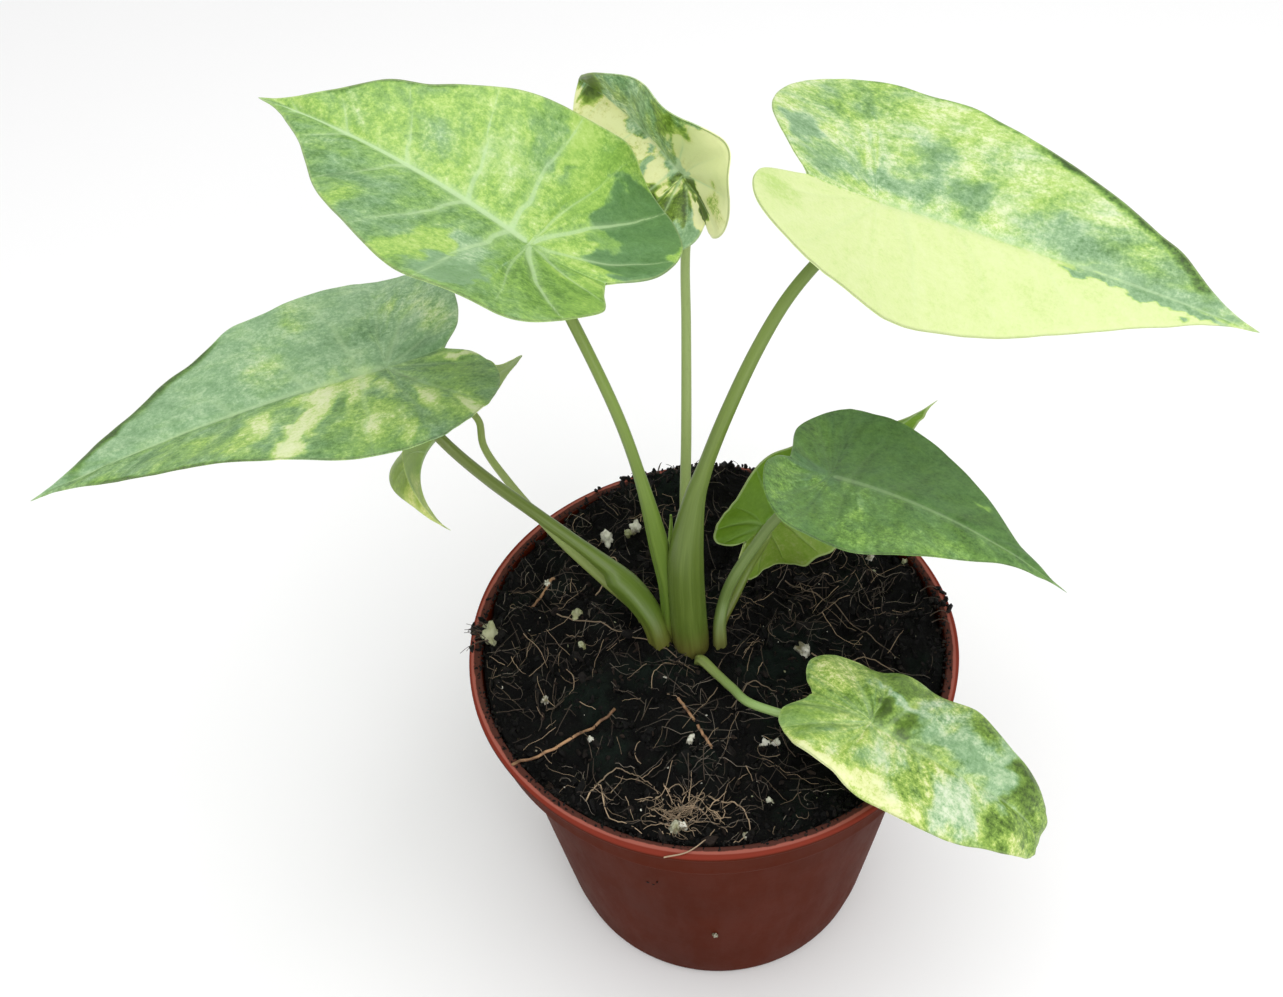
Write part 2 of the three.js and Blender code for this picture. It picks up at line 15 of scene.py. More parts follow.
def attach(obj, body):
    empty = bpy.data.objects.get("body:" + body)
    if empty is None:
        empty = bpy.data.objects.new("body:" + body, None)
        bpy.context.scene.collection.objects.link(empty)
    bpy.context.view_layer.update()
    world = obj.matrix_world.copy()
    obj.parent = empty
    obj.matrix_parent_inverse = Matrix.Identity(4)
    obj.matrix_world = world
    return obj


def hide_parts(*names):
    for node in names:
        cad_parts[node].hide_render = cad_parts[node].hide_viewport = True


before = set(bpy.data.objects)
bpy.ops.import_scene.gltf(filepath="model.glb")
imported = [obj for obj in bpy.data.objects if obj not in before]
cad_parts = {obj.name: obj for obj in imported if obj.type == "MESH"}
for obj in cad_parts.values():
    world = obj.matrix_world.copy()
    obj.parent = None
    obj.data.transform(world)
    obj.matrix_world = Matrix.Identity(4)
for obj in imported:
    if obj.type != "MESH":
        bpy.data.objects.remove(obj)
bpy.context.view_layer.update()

MM = 0.001

# Driving sizes of the pot and its soil
RIM = 97
RIM_RADIUS = 60
BASE_RADIUS = 42.9
COLLAR_DROP = 12.5
STEP_RADIUS = 53.6
WALL = 1.5
FLOOR = 2
SOIL_DROP = 3
SOIL_FOOT = RIM - 10
STEP_HEIGHT = RIM - COLLAR_DROP
COLLAR_RADIUS = RIM_RADIUS - 1.6
COLLAR_FOOT = COLLAR_RADIUS - 0.7
SOIL_RADIUS = COLLAR_FOOT - WALL - 0.2
DRAIN_RADIUS = 4
DRAIN_CIRCLE = 32
DRAIN_COUNT = 8
POT_SIDES = 192
DRAIN_SIDES = 40

# Relief of the soil. Hills are (height, radius, x, y, how much steeper along y). Lumps are (fineness, layer
# of the noise, height, level at which ridged ones are folded)
SOIL_RINGS = 105
SOIL_SIDES = 330
HILLS = [(2.6, 26, -6, 1, 1), (4.6, 24, 2, 52, 1.3)]
CLOD_HEIGHT = 0.5
LUMPS = [(0.13, 3.1, 2.6, None), (0.33, 8.7, 2.6, 0.4), (0.8, 5.2, 1.1, 0.3), (2.1, 1.9, 0.4, None)]
LUMP_SHARE = 0.8
LUMP_DROP = 0.7
WALL_RISE = 1.5

# Camera
CAMERA_PLACE = (-14.3, -196.3, 351.4)
CAMERA_TARGET = (-14.3, 0, 147.4)
CAMERA_ROLL = -4.5
PHOTO_WIDTH = 1283
FOCAL_PIXELS = 1300
SENSOR_WIDTH = 36

# Studio: places, targets and edges of the lamps in metres, and their power in watts
FLOOR_REACH = 6
SKY_LIGHT = 0.75
LAMPS = {
    "overhead_soft": {"place": (0.12, -0.12, 1.15), "target": (0, 0, 0.12), "edge": 1.0, "power": 6.1},
    "front_fill": {"place": (0.4, -1.15, 0.75), "target": (0, 0, 0.1), "edge": 0.9, "power": 5},
}

# Blades
BLADE_THICKNESS = 0.55
EDGE_THICKNESS = 0.25
MIDRIB_DEPTH = 1.1
MIDRIB_GROOVE = 0.35
VEIN_GROOVE = 0.22
VEIN_RIDGE = 0.3
# Length of a blade whose veins have the widths below; those of others follow their length
USUAL_LENGTH = 75
VEIN_WIDTH = (0.3, 0.7)
MIDRIB_WIDTH = 1.5
# Rows and columns of the grid over half a blade
FINE_GRID = (220, 44)
PLAIN_GRID = (150, 32)
FINE_BLADES = ("upper_left", "upper_right", "low_left")

# Stalks. Widths and places round the stalk are in radians from its upper side
STALK_GRID = (90, 28)
SCALE_GRID = (40, 16)
GROOVE_WIDTH = 0.34
WING_PLACE = 0.62
WING_WIDTH = 0.24
LEDGE_HEIGHT = 0.75
LEDGE_WIDTH = 0.9

# Half of a flat blade from its tip to its notch. Along the midrib the unit is the length ahead of the
# stalk, or that of the lobe behind it; across it is the half width.
POINTED_HALF = [
    (1, 0), (0.9, 0.055), (0.75, 0.23), (0.55, 0.56), (0.3, 0.86), (0.05, 1), (-0.35, 0.985),
    (-0.75, 0.8), (-1, 0.47), (-0.9, 0.17),
]
BLUNT_START = [(1, 0), (0.97, 0.3), (0.85, 0.62), (0.55, 0.9), (0.3, 1)]
STALK_ROW = 5.125 / len(POINTED_HALF)
# Side veins of a half blade from tip to notch: the row that each lies on and how strong it is
VEINS = [
    (0, 0), (0.1, 0.3), (0.19, 0.4), (0.28, 0.6), (0.37, 0.8), (0.46, 1), (0.58, 0.35), (0.71, 1),
    (0.85, 0.5), (1, 0),
]

# Each leaf by its place on the plant. Angles are in degrees, and pairs are its left and right half.
#   stalk     points that the stalk passes through; the last is where the blade joins
#   radii     stalk radius at the soil and at the blade; sheath is (extra radius, share of the stalk)
#   turned    heading, pitch and roll of the blade where the stalk joins it
#   length, lobes, widths  size ahead of the stalk, behind it and to each side
#   notch     how deep the lobes are joined, as a share of the lobes
#   drawn     how full each half is near its tip
#   shoulder  what is added to the half width at 0.55 and at 0.3 of the length
#   blunt     how much of the blunt start the outline has
#   droop, sweep, twist    how the blade bends down, turns aside and twists on the way to its tip
#   rise      how the lobes tilt down behind the stalk
#   fold, cup how each half lifts at the midrib, and how much it curls on to its margin
#   lift      extra height of the lobes
#   wave      height, count and phase of the waves of the margin
#   ripple    how uneven the outline is
#   bumps     places where the outline swells: (half, along, height, reach)
#   ledge     where the sheath ends in a shoulder, as a share of the stalk
#   quilt     how far the blade swells between its veins
#   glow      how much light comes through the blade
#   bright_under  whether the underside is bright green
#   veins     how pale the side veins, the midrib and the margin are
LEAVES = {
    "upper_left": {
        "stalk": [
            [-9.2, 3.2, SOIL_FOOT], [-9.3, 2.7, RIM], [-9.3, 3.9, RIM + 14], [-10.7, 5, RIM + 26],
            [-14.1, 6.1, RIM + 50], [-18.1, 8.5, RIM + 68], [-25.7, 16, RIM + 88], [-29, 17, RIM + 97],
            [-32.3, 19.2, RIM + 105],
        ],
        "radii": [1.5, 1.2],
        "sheath": [1, 0.55],
        "turned": {"heading": 151.5, "pitch": 30, "roll": 18.5},
        "length": 67,
        "lobes": [20, 29.5],
        "widths": [38, 39.5],
        "notch": 0.68,
        "drawn": [0.8, 1],
        "shoulder": [-0.065, -0.08],
        "droop": 24.5,
        "sweep": -15.5,
        "twist": -35.5,
        "rise": -27,
        "fold": [1.5, 14.5],
        "cup": [8, 11],
        "lift": [-3.5, 1.5],
        "wave": [1, 2.6, 58],
        "bumps": [(1, 45, 1.3, 5), (1, 37, -0.6, 3)],
        "ripple": 0.4,
        "quilt": 0.45,
        "veins": [0.7, 0.8, 0.3],
    },
    "upper_right": {
        "stalk": [
            [-4.8, -0.6, SOIL_FOOT], [-4.8, -0.6, RIM], [-5.1, 0.3, RIM + 10], [-4.9, 2.7, RIM + 28],
            [-2.5, 5.4, RIM + 43], [0, 6.7, RIM + 51], [4.9, 8.1, RIM + 65], [12.1, 13.6, RIM + 78],
            [18.7, 17.2, RIM + 88], [25.1, 19.1, RIM + 95.5], [37.6, 26.9, RIM + 104],
        ],
        "radii": [2.2, 1.15],
        "sheath": [2.2, 0.5],
        "turned": {"heading": -7.5, "pitch": -19, "roll": 5},
        "length": 80.5,
        "lobes": [21, 31],
        "widths": [40.5, 34.5],
        "notch": 0.59,
        "drawn": [1.2, 1.15],
        "shoulder": [-0.04, -0.05],
        "droop": -14,
        "sweep": -29,
        "twist": 27.5,
        "rise": -25.5,
        "fold": [3.5, 1],
        "cup": [-8, 0],
        "lift": [1, -5],
        "wave": [1, 1, 42],
        "bumps": [(0, 18, 0.8, 4), (0, 9, -0.6, 3), (0, 61, 0.9, 4)],
        "quilt": 0.08,
        "veins": [0.08, 0.3, 0.25],
    },
    "low_left": {
        "stalk": [
            [-12.3, 0.3, SOIL_FOOT], [-12.5, 0.7, RIM], [-13.8, 3.3, RIM + 5], [-18.1, 8, RIM + 11],
            [-25.5, 11.6, RIM + 18], [-38.9, 16.1, RIM + 30.5], [-49.4, 17.2, RIM + 43],
            [-57.9, 18.5, RIM + 55], [-68.6, 30, RIM + 68],
        ],
        "radii": [1.9, 1.15],
        "sheath": [1, 0.42],
        "turned": {"heading": 198, "pitch": 1.5, "roll": 9},
        "length": 80,
        "lobes": [21.5, 21],
        "widths": [36.5, 36.5],
        "notch": 0.62,
        "drawn": [1.45, 1.45],
        "shoulder": [0, -0.02],
        "droop": 10,
        "sweep": 6,
        "twist": 5,
        "rise": -18,
        "fold": [5, 10.5],
        "cup": [-1, -5.5],
        "lift": [-5.5, 1],
        "wave": [2.3, 1.15, -153],
        "ripple": 1.1,
        "bumps": [(1, 30, 1.3, 4), (1, 21, -0.7, 3), (1, 47, 1.5, 5)],
        "ledge": 0.29,
        "quilt": 0.4,
        "veins": [0.26, 0.42, 0.12],
    },
    "back": {
        "stalk": [
            [-5, 7.6, SOIL_FOOT], [-5, 8.4, RIM], [-3.9, 21.9, RIM + 22], [-2.5, 30, RIM + 38],
            [-1.5, 37.4, RIM + 50], [-0.6, 44.6, RIM + 62.5], [0.2, 50.5, RIM + 78],
            [0.4, 53.4, RIM + 96],
        ],
        "radii": [1.5, 1],
        "sheath": [0.2, 0.3],
        "turned": {"heading": 135, "pitch": 38, "roll": -82},
        "length": 32,
        "lobes": [18, 19],
        "widths": [22.5, 22.5],
        "notch": 0.62,
        "blunt": 0.78,
        "shoulder": [0, -0.03],
        "droop": -16,
        "droop_power": 3,
        "sweep": 17,
        "twist": -11,
        "rise": -43,
        "fold": [35, 31],
        "cup": [-13, -15],
        "lift": [0.5, 1],
        "wave": [2.3, 1.5, -162],
        "glow": 0.04,
        "quilt": 0.4,
        "veins": [0.45, 0.4, 0.3],
    },
    "right": {
        "stalk": [
            [2.2, -1.9, SOIL_FOOT], [2.1, -2, RIM], [2.3, 0, RIM + 5], [3.7, 2.9, RIM + 9.5],
            [6, 4.1, RIM + 16], [11, 6.2, RIM + 24], [17.8, 7.8, RIM + 33.5], [28.4, 8.9, RIM + 44],
        ],
        "radii": [1.6, 1.1],
        "sheath": [0.2, 0.3],
        "turned": {"heading": -26, "pitch": 0, "roll": -14},
        "length": 57.5,
        "lobes": [11.5, 14.5],
        "widths": [25.5, 26],
        "notch": 0.75,
        "drawn": [0.8, 0.8],
        "shoulder": [0, 0.08],
        "droop": 20,
        "sweep": -14,
        "twist": 1,
        "rise": -39,
        "fold": [-6, -4],
        "cup": [26, 12],
        "lift": [0.5, 1],
        "wave": [1.3, 1.6, 49],
        "quilt": 0.3,
        "veins": [0.04, 0.2, 0.06],
    },
    "behind_right": {
        "stalk": [
            [3, 3.6, SOIL_FOOT], [3.2, 3.8, RIM], [6.8, 8.4, RIM + 4], [11.2, 13.4, RIM + 9.5],
            [15.1, 19.8, RIM + 17],
        ],
        "radii": [1.3, 0.9],
        "sheath": [0.1, 0.3],
        "turned": {"heading": 18, "pitch": 30.5, "roll": -100},
        "length": 56,
        "lobes": [13.5, 10.5],
        "widths": [15.5, 12.5],
        "notch": 0.48,
        "shoulder": [0, 0.03],
        "droop": -24,
        "sweep": 28,
        "twist": -91,
        "rise": 26,
        "fold": [5, 20],
        "cup": [-24, -17],
        "lift": [-3, 2],
        "wave": [2.6, 1.9, -161],
        "ripple": 1.5,
        "bumps": [(0, -5, -1, 2), (0, 1, 0.8, 2), (0, 7, -0.9, 2.5), (0, 17, -0.8, 3)],
        "glow": 0.08,
        "bright_under": True,
        "quilt": 0.35,
        "veins": [0.12, 0.3, 0.5],
    },
    "front": {
        "stalk": [
            [-3.4, -6.8, SOIL_FOOT + 2], [-3.2, -7, RIM], [0.3, -12.7, RIM + 1.5],
            [3.3, -18.4, RIM + 3.5], [7.3, -25.9, RIM + 7], [31.7, -36.8, RIM + 13],
        ],
        "radii": [1.2, 0.9],
        "sheath": [0.1, 0.3],
        "turned": {"heading": -38, "pitch": -12, "roll": -7},
        "length": 54,
        "lobes": [20.5, 16.5],
        "widths": [21, 19],
        "notch": 0.79,
        "blunt": 0.42,
        "shoulder": [0, 0.04],
        "droop": 105,
        "droop_power": 3.5,
        "sweep": 21,
        "twist": 24,
        "rise": 39,
        "fold": [0.5, 12],
        "cup": [-31, -15],
        "lift": [5.5, -1.5],
        "wave": [1.2, 2.6, 57],
        "ripple": 1.0,
        "quilt": 0.7,
        "veins": [0.22, 0.2, 0.2],
    },
    "hanging": {
        "stalk": [
            [-16, 8, SOIL_FOOT], [-16.5, 8.4, RIM], [-25, 15, RIM + 6], [-35.4, 22.9, RIM + 14],
            [-46.9, 33.4, RIM + 25], [-52.6, 40.7, RIM + 31.5], [-55.1, 47.6, RIM + 37.5],
        ],
        "radii": [1.4, 0.9],
        "sheath": [0.2, 0.25],
        "turned": {"heading": 221, "pitch": 2.5, "roll": 52.5},
        "length": 42,
        "lobes": [18, 17],
        "widths": [17, 18.5],
        "notch": 0.53,
        "drawn": [0.84, 0.84],
        "shoulder": [0, -0.03],
        "droop": 127.5,
        "droop_power": 1.85,
        "sweep": 30,
        "twist": 33.5,
        "rise": -36.5,
        "fold": [36, 37.5],
        "cup": [-16.5, -35.5],
        "lift": [-6.5, 1.5],
        "wave": [1.7, 1.6, 30],
        "glow": 0.1,
        "quilt": 0.3,
        "veins": [0.4, 0.5, 0.3],
    },
}

LEAF_DEFAULTS = {
    "drawn": [1, 1],
    "shoulder": [0, 0],
    "blunt": 0,
    "droop_power": 1,
    "lift": [0, 0],
    "ripple": 0.7,
    "bumps": [],
    "ledge": 0,
    "glow": 0.2,
    "bright_under": False,
}

# The pointed scale between the two tall stalks
SCALE_LEAF = {
    "stalk": [
        [-9.6, 7.4, SOIL_FOOT], [-9.4, 7.6, RIM], [-8.8, 8.6, RIM + 16], [-7.8, 10.6, RIM + 34],
    ],
    "radii": [2.5, 0.25],
    "sheath": [0, 0.5],
    "turned": {"heading": 0, "pitch": 0, "roll": 0},
}

# Markings of the blades. A tissue is (pale, grey, mottle): pale runs from 0 dark green over 0.6 lime to
# 1 cream, grey from 0 warm green to 1 bluish grey-green, which is partly grey-green tissue and partly
# painted sheen, and mottle is how speckled it is.
#   olive    how yellow the warm tissue is
#   warp     how ragged the patches are
#   shift    how far to the right of the midrib the left half's tissue reaches, in mm
#   halves   the tissue of the left and of the right half
#   patches  (along, across, half length, half width, degrees turned, softness, pale, grey, mottle), each on
#            top of those before it; along and across are in mm on the flat blade from the stalk, and across
#            is positive on the left half
#   bands    along the margin of one half: (half, from along, to along, width, pale, grey)
MARKINGS = {
    "upper_left": {
        "olive": 0.1,
        "halves": [(0.47, 0.4, 0.75), (0.58, 0.25, 0.75)],
        "patches": [
            (-12, 15, 12, 13, 0, 0.5, 0.38, 0.2, 0.7),
            (-19, 15, 4, 13, 0, 0.6, 0.48, 0.05, 0.6),
            (-12, 5, 6, 2.5, 10, 0.6, 0.58, 0.1, 0.5),
            (6, 29, 4.5, 7, 0, 0.25, 0.44, 1.0, 0.3),
            (7, 17, 4, 8, 0, 0.6, 0.6, 0.9, 0.8),
            (14, 24, 3, 12, -12, 0.4, 0.62, 0.0, 0.6),
            (26, 20, 9, 9, 0, 0.8, 0.45, 0.65, 0.8),
            (16, 8, 7, 4, 0, 0.8, 0.44, 0.5, 0.8),
            (36, 9, 9, 4, -10, 0.8, 0.43, 0.7, 0.8),
            (33, 20, 3, 4, 0, 0.8, 0.52, 0.2, 0.9),
            (50, 7, 8, 5, 0, 0.7, 0.46, 0.5, 0.9),
            (-19, -24, 13, 13, 0, 0.08, 0.27, 0.7, 0.35),
            (-20, -9, 9, 7, 0, 0.1, 0.27, 0.7, 0.35),
            (-11, -12, 4.5, 4, 0, 0.1, 0.46, 0.4, 0.5),
            (-3, -26, 3.4, 15, 0, 0.4, 0.54, 0.1, 0.5),
            (3, -25, 1.4, 6, 8, 0.5, 0.4, 0.4, 0.6),
            (6, -30, 3.6, 8, 0, 0.3, 0.64, 0.0, 0.4),
            (12, -25, 3, 8, 10, 0.8, 0.46, 0.6, 0.8),
            (16, -13, 6, 6, 0, 0.7, 0.66, 0.4, 0.6),
            (30, -9, 5, 4, 0, 0.9, 0.5, 0.6, 0.9),
            (38, -20, 3, 3, 0, 0.8, 0.44, 0.5, 0.9),
            (50, -7, 8, 4, 0, 0.8, 0.54, 0.4, 0.9),
            (-9, -2.5, 8, 2, -8, 0.5, 0.6, 0.0, 0.6),
        ],
        "bands": [(1, 28, 56, 1.4, 0.15, 0.1)],
    },
    "upper_right": {
        "olive": 0.15,
        "shift": 0.5,
        "halves": [(0.73, 0.4, 0.95), (0.83, 0.0, 0.16)],
        "patches": [
            (-16, 16, 4, 6, 0, 0.5, 0.46, 1.0, 0.7),
            (-10, 8, 5, 5, 0, 0.7, 0.5, 0.7, 0.8),
            (-8, 28, 8, 4, 0, 0.8, 0.5, 0.4, 1.0),
            (0, 34, 8, 6, 0, 0.8, 0.5, 0.4, 1.0),
            (5, 7, 9, 3.4, 0, 0.7, 0.48, 0.9, 0.8),
            (12, 17, 4.4, 7, 0, 0.6, 0.44, 0.7, 0.8),
            (20, 8, 3, 6, 0, 0.6, 0.44, 0.7, 0.8),
            (16, 30, 8, 5, 0, 0.9, 0.7, 0.3, 0.8),
            (29, 8, 5, 6, 0, 0.8, 0.7, 0.4, 0.7),
            (46, 6, 14, 4, 0, 0.7, 0.5, 0.9, 0.8),
            (60, 3.5, 18, 4.5, 0, 0.4, 0.52, 0.8, 0.7),
            (58, -0.6, 19, 1.5, 0, 0.15, 0.52, 0.8, 0.6),
            (36, 18, 6, 5, 0, 0.8, 0.7, 0.3, 0.8),
            (60, 7, 14, 5.5, 0, 0.5, 0.52, 0.5, 1.0),
            (-24, -8, 5, 4, 0, 0.8, 0.76, 0.0, 0.2),
        ],
        "bands": [(0, 26, 72, 2.8, 0.1, 0.0), (0, -5, 30, 0.9, 0.3, 0.1)],
    },
    "low_left": {
        "olive": 0.15,
        "warp": 0.25,
        "halves": [(0.44, 0.55, 0.85), (0.56, 0.8, 0.6)],
        "patches": [
            (-13, 14, 7, 8, 0, 0.8, 0.44, 0.3, 0.7),
            (-12, 26, 4, 5, 0, 0.8, 0.62, 0.1, 1.0),
            (-13, 28, 1.5, 5, 15, 0.5, 0.92, 0.1, 0.6),
            (-6, 20.5, 2.0, 6, 10, 0.7, 0.86, 0.1, 0.7),
            (1, 30, 2.6, 4, 0, 0.8, 0.7, 0.1, 0.9),
            (7, 22, 6, 8, 0, 0.9, 0.66, 0.2, 1.0),
            (8, 24, 1.8, 4, -10, 0.7, 0.85, 0.1, 0.8),
            (2, 11, 1.4, 4.5, 0, 0.8, 0.75, 0.3, 0.9),
            (9, 8, 2.8, 9, -22, 0.7, 0.84, 0.15, 0.8),
            (17, 4.4, 9, 2.4, 0, 0.8, 0.7, 0.2, 0.9),
            (20, 13, 3.2, 15, -28, 0.5, 0.92, 0.1, 0.7),
            (26, 24, 3.0, 6, -20, 0.6, 0.92, 0.1, 0.6),
            (31, 12, 3.6, 6, -20, 0.7, 0.86, 0.1, 0.8),
            (14, 14, 1.6, 6, -25, 0.7, 0.38, 0.4, 0.7),
            (-13, 3, 4, 2.4, 0, 0.6, 0.6, 0.3, 0.7),
            (-16, 6, 3, 1.6, 0, 0.4, 0.9, 0.1, 0.6),
            (35, 17, 3.4, 5, -15, 0.9, 0.64, 0.15, 1.0),
            (46, 11, 7, 3.4, 0, 0.9, 0.52, 0.3, 0.8),
            (-7, -3, 6, 2.6, 0, 0.6, 0.42, 0.9, 0.5),
            (-14, -14, 4, 9, 10, 0.9, 0.66, 0.5, 1.0),
            (-8, -22, 6, 5, 0, 0.9, 0.62, 0.6, 1.0),
            (26, -12, 4, 7, 0, 0.9, 0.62, 0.5, 0.9),
            (16, -24, 4, 6, 0, 0.9, 0.6, 0.6, 0.9),
            (0, -13, 6, 4, 0, 0.8, 0.45, 0.7, 0.9),
        ],
        "bands": [(1, 30, 74, 3.0, 0.05, 0.2), (1, 46, 58, 5.0, 0.12, 0.3), (0, 30, 70, 0.9, 0.15, 0.1)],
    },
    "back": {
        "olive": 0.8,
        "halves": [(0.5, 0.8, 1.2), (0.5, 0.65, 1.2)],
        "patches": [
            (18, 4.5, 17, 6, 0, 0.15, 0.98, 0.0, 1.0),
            (13, 8, 4, 1.6, 0, 0.6, 0.4, 0.4, 1.3),
            (0, 6, 3.6, 4, 0, 0.25, 0.14, 0.0, 0.9),
            (4, 3.6, 3.4, 3, 0, 0.2, 1.0, 0.1, 0.5),
            (8.6, 5, 1.6, 2.6, 0, 0.3, 0.5, 1.0, 0.5),
            (-4, 4, 4.4, 7, 0, 0.3, 0.19, 0.0, 1.0),
            (-1.6, 3.4, 1.4, 1.6, 0, 0.6, 0.9, 0.0, 0.4),
            (-14, 5, 4.6, 8, 0, 0.2, 0.5, 1.0, 0.6),
            (-10, -13, 14, 14, 0, 0.04, 1.0, 0.0, 0.15),
            (0, -17, 5, 8, 0, 0.04, 1.0, 0.0, 0.1),
            (-12, -11, 4, 3, 0, 0.5, 0.72, 0.0, 1.4),
            (-6, -3, 5, 2.4, 0, 0.1, 0.05, 0.1, 0.2),
            (1, -3, 2.4, 3.4, 0, 0.2, 0.75, 1.0, 0.5),
            (15, -10, 11, 12, 0, 0.05, 0.52, 0.7, 1.5),
            (8, -15, 4, 6, 0, 0.4, 0.36, 0.0, 1.5),
            (17, -12, 6, 3, 30, 0.6, 0.5, 0.6, 1.2),
            (29, -4, 4.2, 7.4, 0, 0.3, 0.14, 0.0, 0.5),
        ],
    },
    "right": {
        "olive": 0.1,
        "halves": [(0.2, 0.45, 0.35), (0.27, 0.4, 0.6)],
        "patches": [
            (-7, 12, 3.5, 7, 0, 0.9, 0.25, 0.3, 0.7),
            (-3, -2, 6, 3, 0, 0.8, 0.28, 0.8, 0.4),
            (-10, -12, 4, 12, 0, 0.9, 0.38, 0.3, 1.0),
            (-1, -4, 2.4, 2, 0, 0.9, 0.42, 0.2, 1.0),
            (9, -14, 1.8, 9, 8, 0.9, 0.4, 0.3, 1.0),
            (16, -18, 9, 5, 0, 0.9, 0.35, 0.25, 1.0),
            (32, -12, 8, 3.5, 8, 0.9, 0.38, 0.25, 0.9),
            (34, 10, 2, 0.8, 0, 0.5, 0.5, 0.2, 0.3),
        ],
    },
    "behind_right": {
        "olive": 0.9,
        "halves": [(0.72, 0.1, 0.5), (0.42, 0.0, 0.5)],
        "patches": [
            (45, 0, 14, 8, 0, 0.4, 0.55, 0.2, 0.4),
        ],
    },
    "front": {
        "olive": 0.55,
        "halves": [(0.46, 0.35, 1.15), (0.6, 0.3, 1.15)],
        "patches": [
            (-13, 9, 6, 6, 0, 0.5, 0.74, 0.1, 1.4),
            (1, 16, 9, 4.4, 0, 0.5, 0.32, 0.0, 0.9),
            (2, 5, 2.4, 3.4, 0, 0.5, 0.08, 0.0, 0.5),
            (9, 5.5, 2.6, 4, 0, 0.5, 0.08, 0.0, 0.7),
            (5, 10.5, 9, 1.5, -8, 0.7, 0.75, 0.9, 0.9),
            (20, 8, 9, 5, 0, 0.8, 0.66, 0.9, 0.9),
            (24, 4, 9, 2.4, -6, 0.6, 0.48, 0.9, 0.6),
            (31, 6, 3, 8, 0, 0.7, 0.68, 1.0, 0.7),
            (14, 14, 4.4, 5, 0, 0.8, 0.66, 0.6, 1.3),
            (24, 14, 4, 3, 0, 0.8, 0.3, 0.2, 1.2),
            (-12, -9, 8, 8, 0, 0.6, 0.5, 0.4, 0.7),
            (-3, -17.6, 9, 2.0, 12, 0.3, 0.94, 0.1, 0.4),
            (8, -16.6, 8, 2.8, -4, 0.3, 0.9, 0.2, 0.8),
            (6, -7, 4, 5, 0, 0.8, 0.74, 0.6, 1.0),
            (14, -8, 4, 5, 0, 0.7, 0.5, 0.1, 1.5),
            (23, -9, 5, 7, 0, 0.7, 0.82, 0.9, 1.2),
            (38, 8, 5, 8, 0, 0.4, 0.12, 0.0, 0.9),
            (36, -6, 4, 7, 0, 0.5, 0.3, 0.0, 1.3),
            (45, 0, 6, 18, 0, 0.4, 0.42, 0.1, 1.4),
            (42, -10, 5, 4, 0, 0.6, 0.75, 0.2, 1.4),
        ],
        "bands": [(1, -14, 6, 1.4, 0.95, 0.0), (0, -16, -4, 1.6, 0.9, 0.0)],
    },
    "hanging": {
        "olive": 0.95,
        "halves": [(0.5, 0.1, 0.4), (0.5, 0.1, 0.4)],
        "patches": [
            (36, 0, 10, 6, 0, 0.4, 0.75, 0.2, 0.4),
            (10, 8, 10, 2, 0, 0.8, 0.6, 0.1, 0.6),
        ],
    },
}

MARKING_DEFAULTS = {
    "warp": 1,
    "shift": 0,
    "bands": [],
}
RAGGED = 3.4
JAGGED = 2.2
BAND_FADE = 8

# Perlite grains by (x, y, size), and twigs and roots by the (x, y) points that they pass over
PERLITE_PLACES = [
    (-24.3, 37.6, 1.9), (-16.5, 38.2, 1.7), (-18.6, 37.2, 1.1), (-55.0, 6.3, 2.6), (-32.9, 11.4, 1.4),
    (-31.8, 1.8, 1.1), (22.4, -4.5, 1.9), (-12.6, -50.6, 1.5), (-10.9, -50.2, 1.1), (9.7, -30.4, 1.2),
    (12.2, -30.6, 0.9), (9, -44.8, 0.8), (2.4, -54.3, 0.8), (-7.4, -27.7, 1.2), (43.3, 22, 0.9),
    (52.1, 20.4, 1), (-40.3, 22.6, 0.8), (-41.2, -13.5, 0.9), (-30.5, -26, 0.7),
]
TWIGS = [
    [(-48.6, -32.6), (-37.7, -26.8), (-24.5, -18.3)],
    [(-9.4, -16.8), (-5.9, -23.4)],
    [(-5.4, -24.3), (-2.6, -30.9)],
    [(-45, 15), (-38.4, 24.5)],
    [(22, 23), (28, 33)],
]
ROOTS = [
    [(20.6, 16.9), (28.8, 11.7), (35, 3), (41.1, -4.5), (45.1, -8.8)],
    [(-15.6, -58.6), (-10.4, -58), (-6, -55), (-4, -52)],
    [(-38, 12), (-24, 5), (-12, -2), (-6, -9)],
    [(-28, 18), (-22, 27), (-31, 31)],
    [(24, -6), (31, -11), (37, -8), (43, -13)],
    [(3, -20), (9, -14), (14, -18)],
    [(-4.6, -43), (2, -47), (3.6, -53), (-0.5, -56.6)],
    [(-30, -38), (-24, -34), (-17, -39)],
    [(-32, -43), (-29, -38), (-27, -47), (-20, -52)],
]
# Grains stuck to the wall of the pot: (x, y, z, size)
WALL_GRAIN = (-4.3, -47.3, 34.2, 1)
WALL_CRUMBS = [(-19.9, -47, 64.5, 0.35), (-18.6, -47.5, 64.1, 0.28), (-17.7, -48.2, 66.6, 0.3)]
# Where soil lies over the lip: degrees round from the right, and the spread of it. The first few have crumbs
# only, and the others also have fibres that stick out
SPILLS = [(90, 9), (84, 8), (98, 7), (92, 12), (88, 5), (96, 10), (86, 11), (174, 2.4), (5, 2.4)]
CRUMB_SPILLS = 5
CLUMP = (-11.5, -46)
CLUMP_RADIUS = 8

# Litter. Crumbs are (count, smallest, largest, seed), and the edge's keep to the outer part of the soil
COARSE_CRUMBS = (330, 0.5, 1.4, 4)
FINE_CRUMBS = (4200, 0.18, 0.85, 5)
EDGE_CRUMBS = (600, 0.25, 1.0, 7, 0.86)
PERLITE_DUST = (110, 0.12, 0.5, 6)
# Each kind of lump is shaped by (subdivisions, roughness, seed)
COARSE_SHAPE = (2, 0.8, 11)
FINE_SHAPE = (1, 0.7, 12)
PERLITE_SHAPE = (3, 0.8, 13)
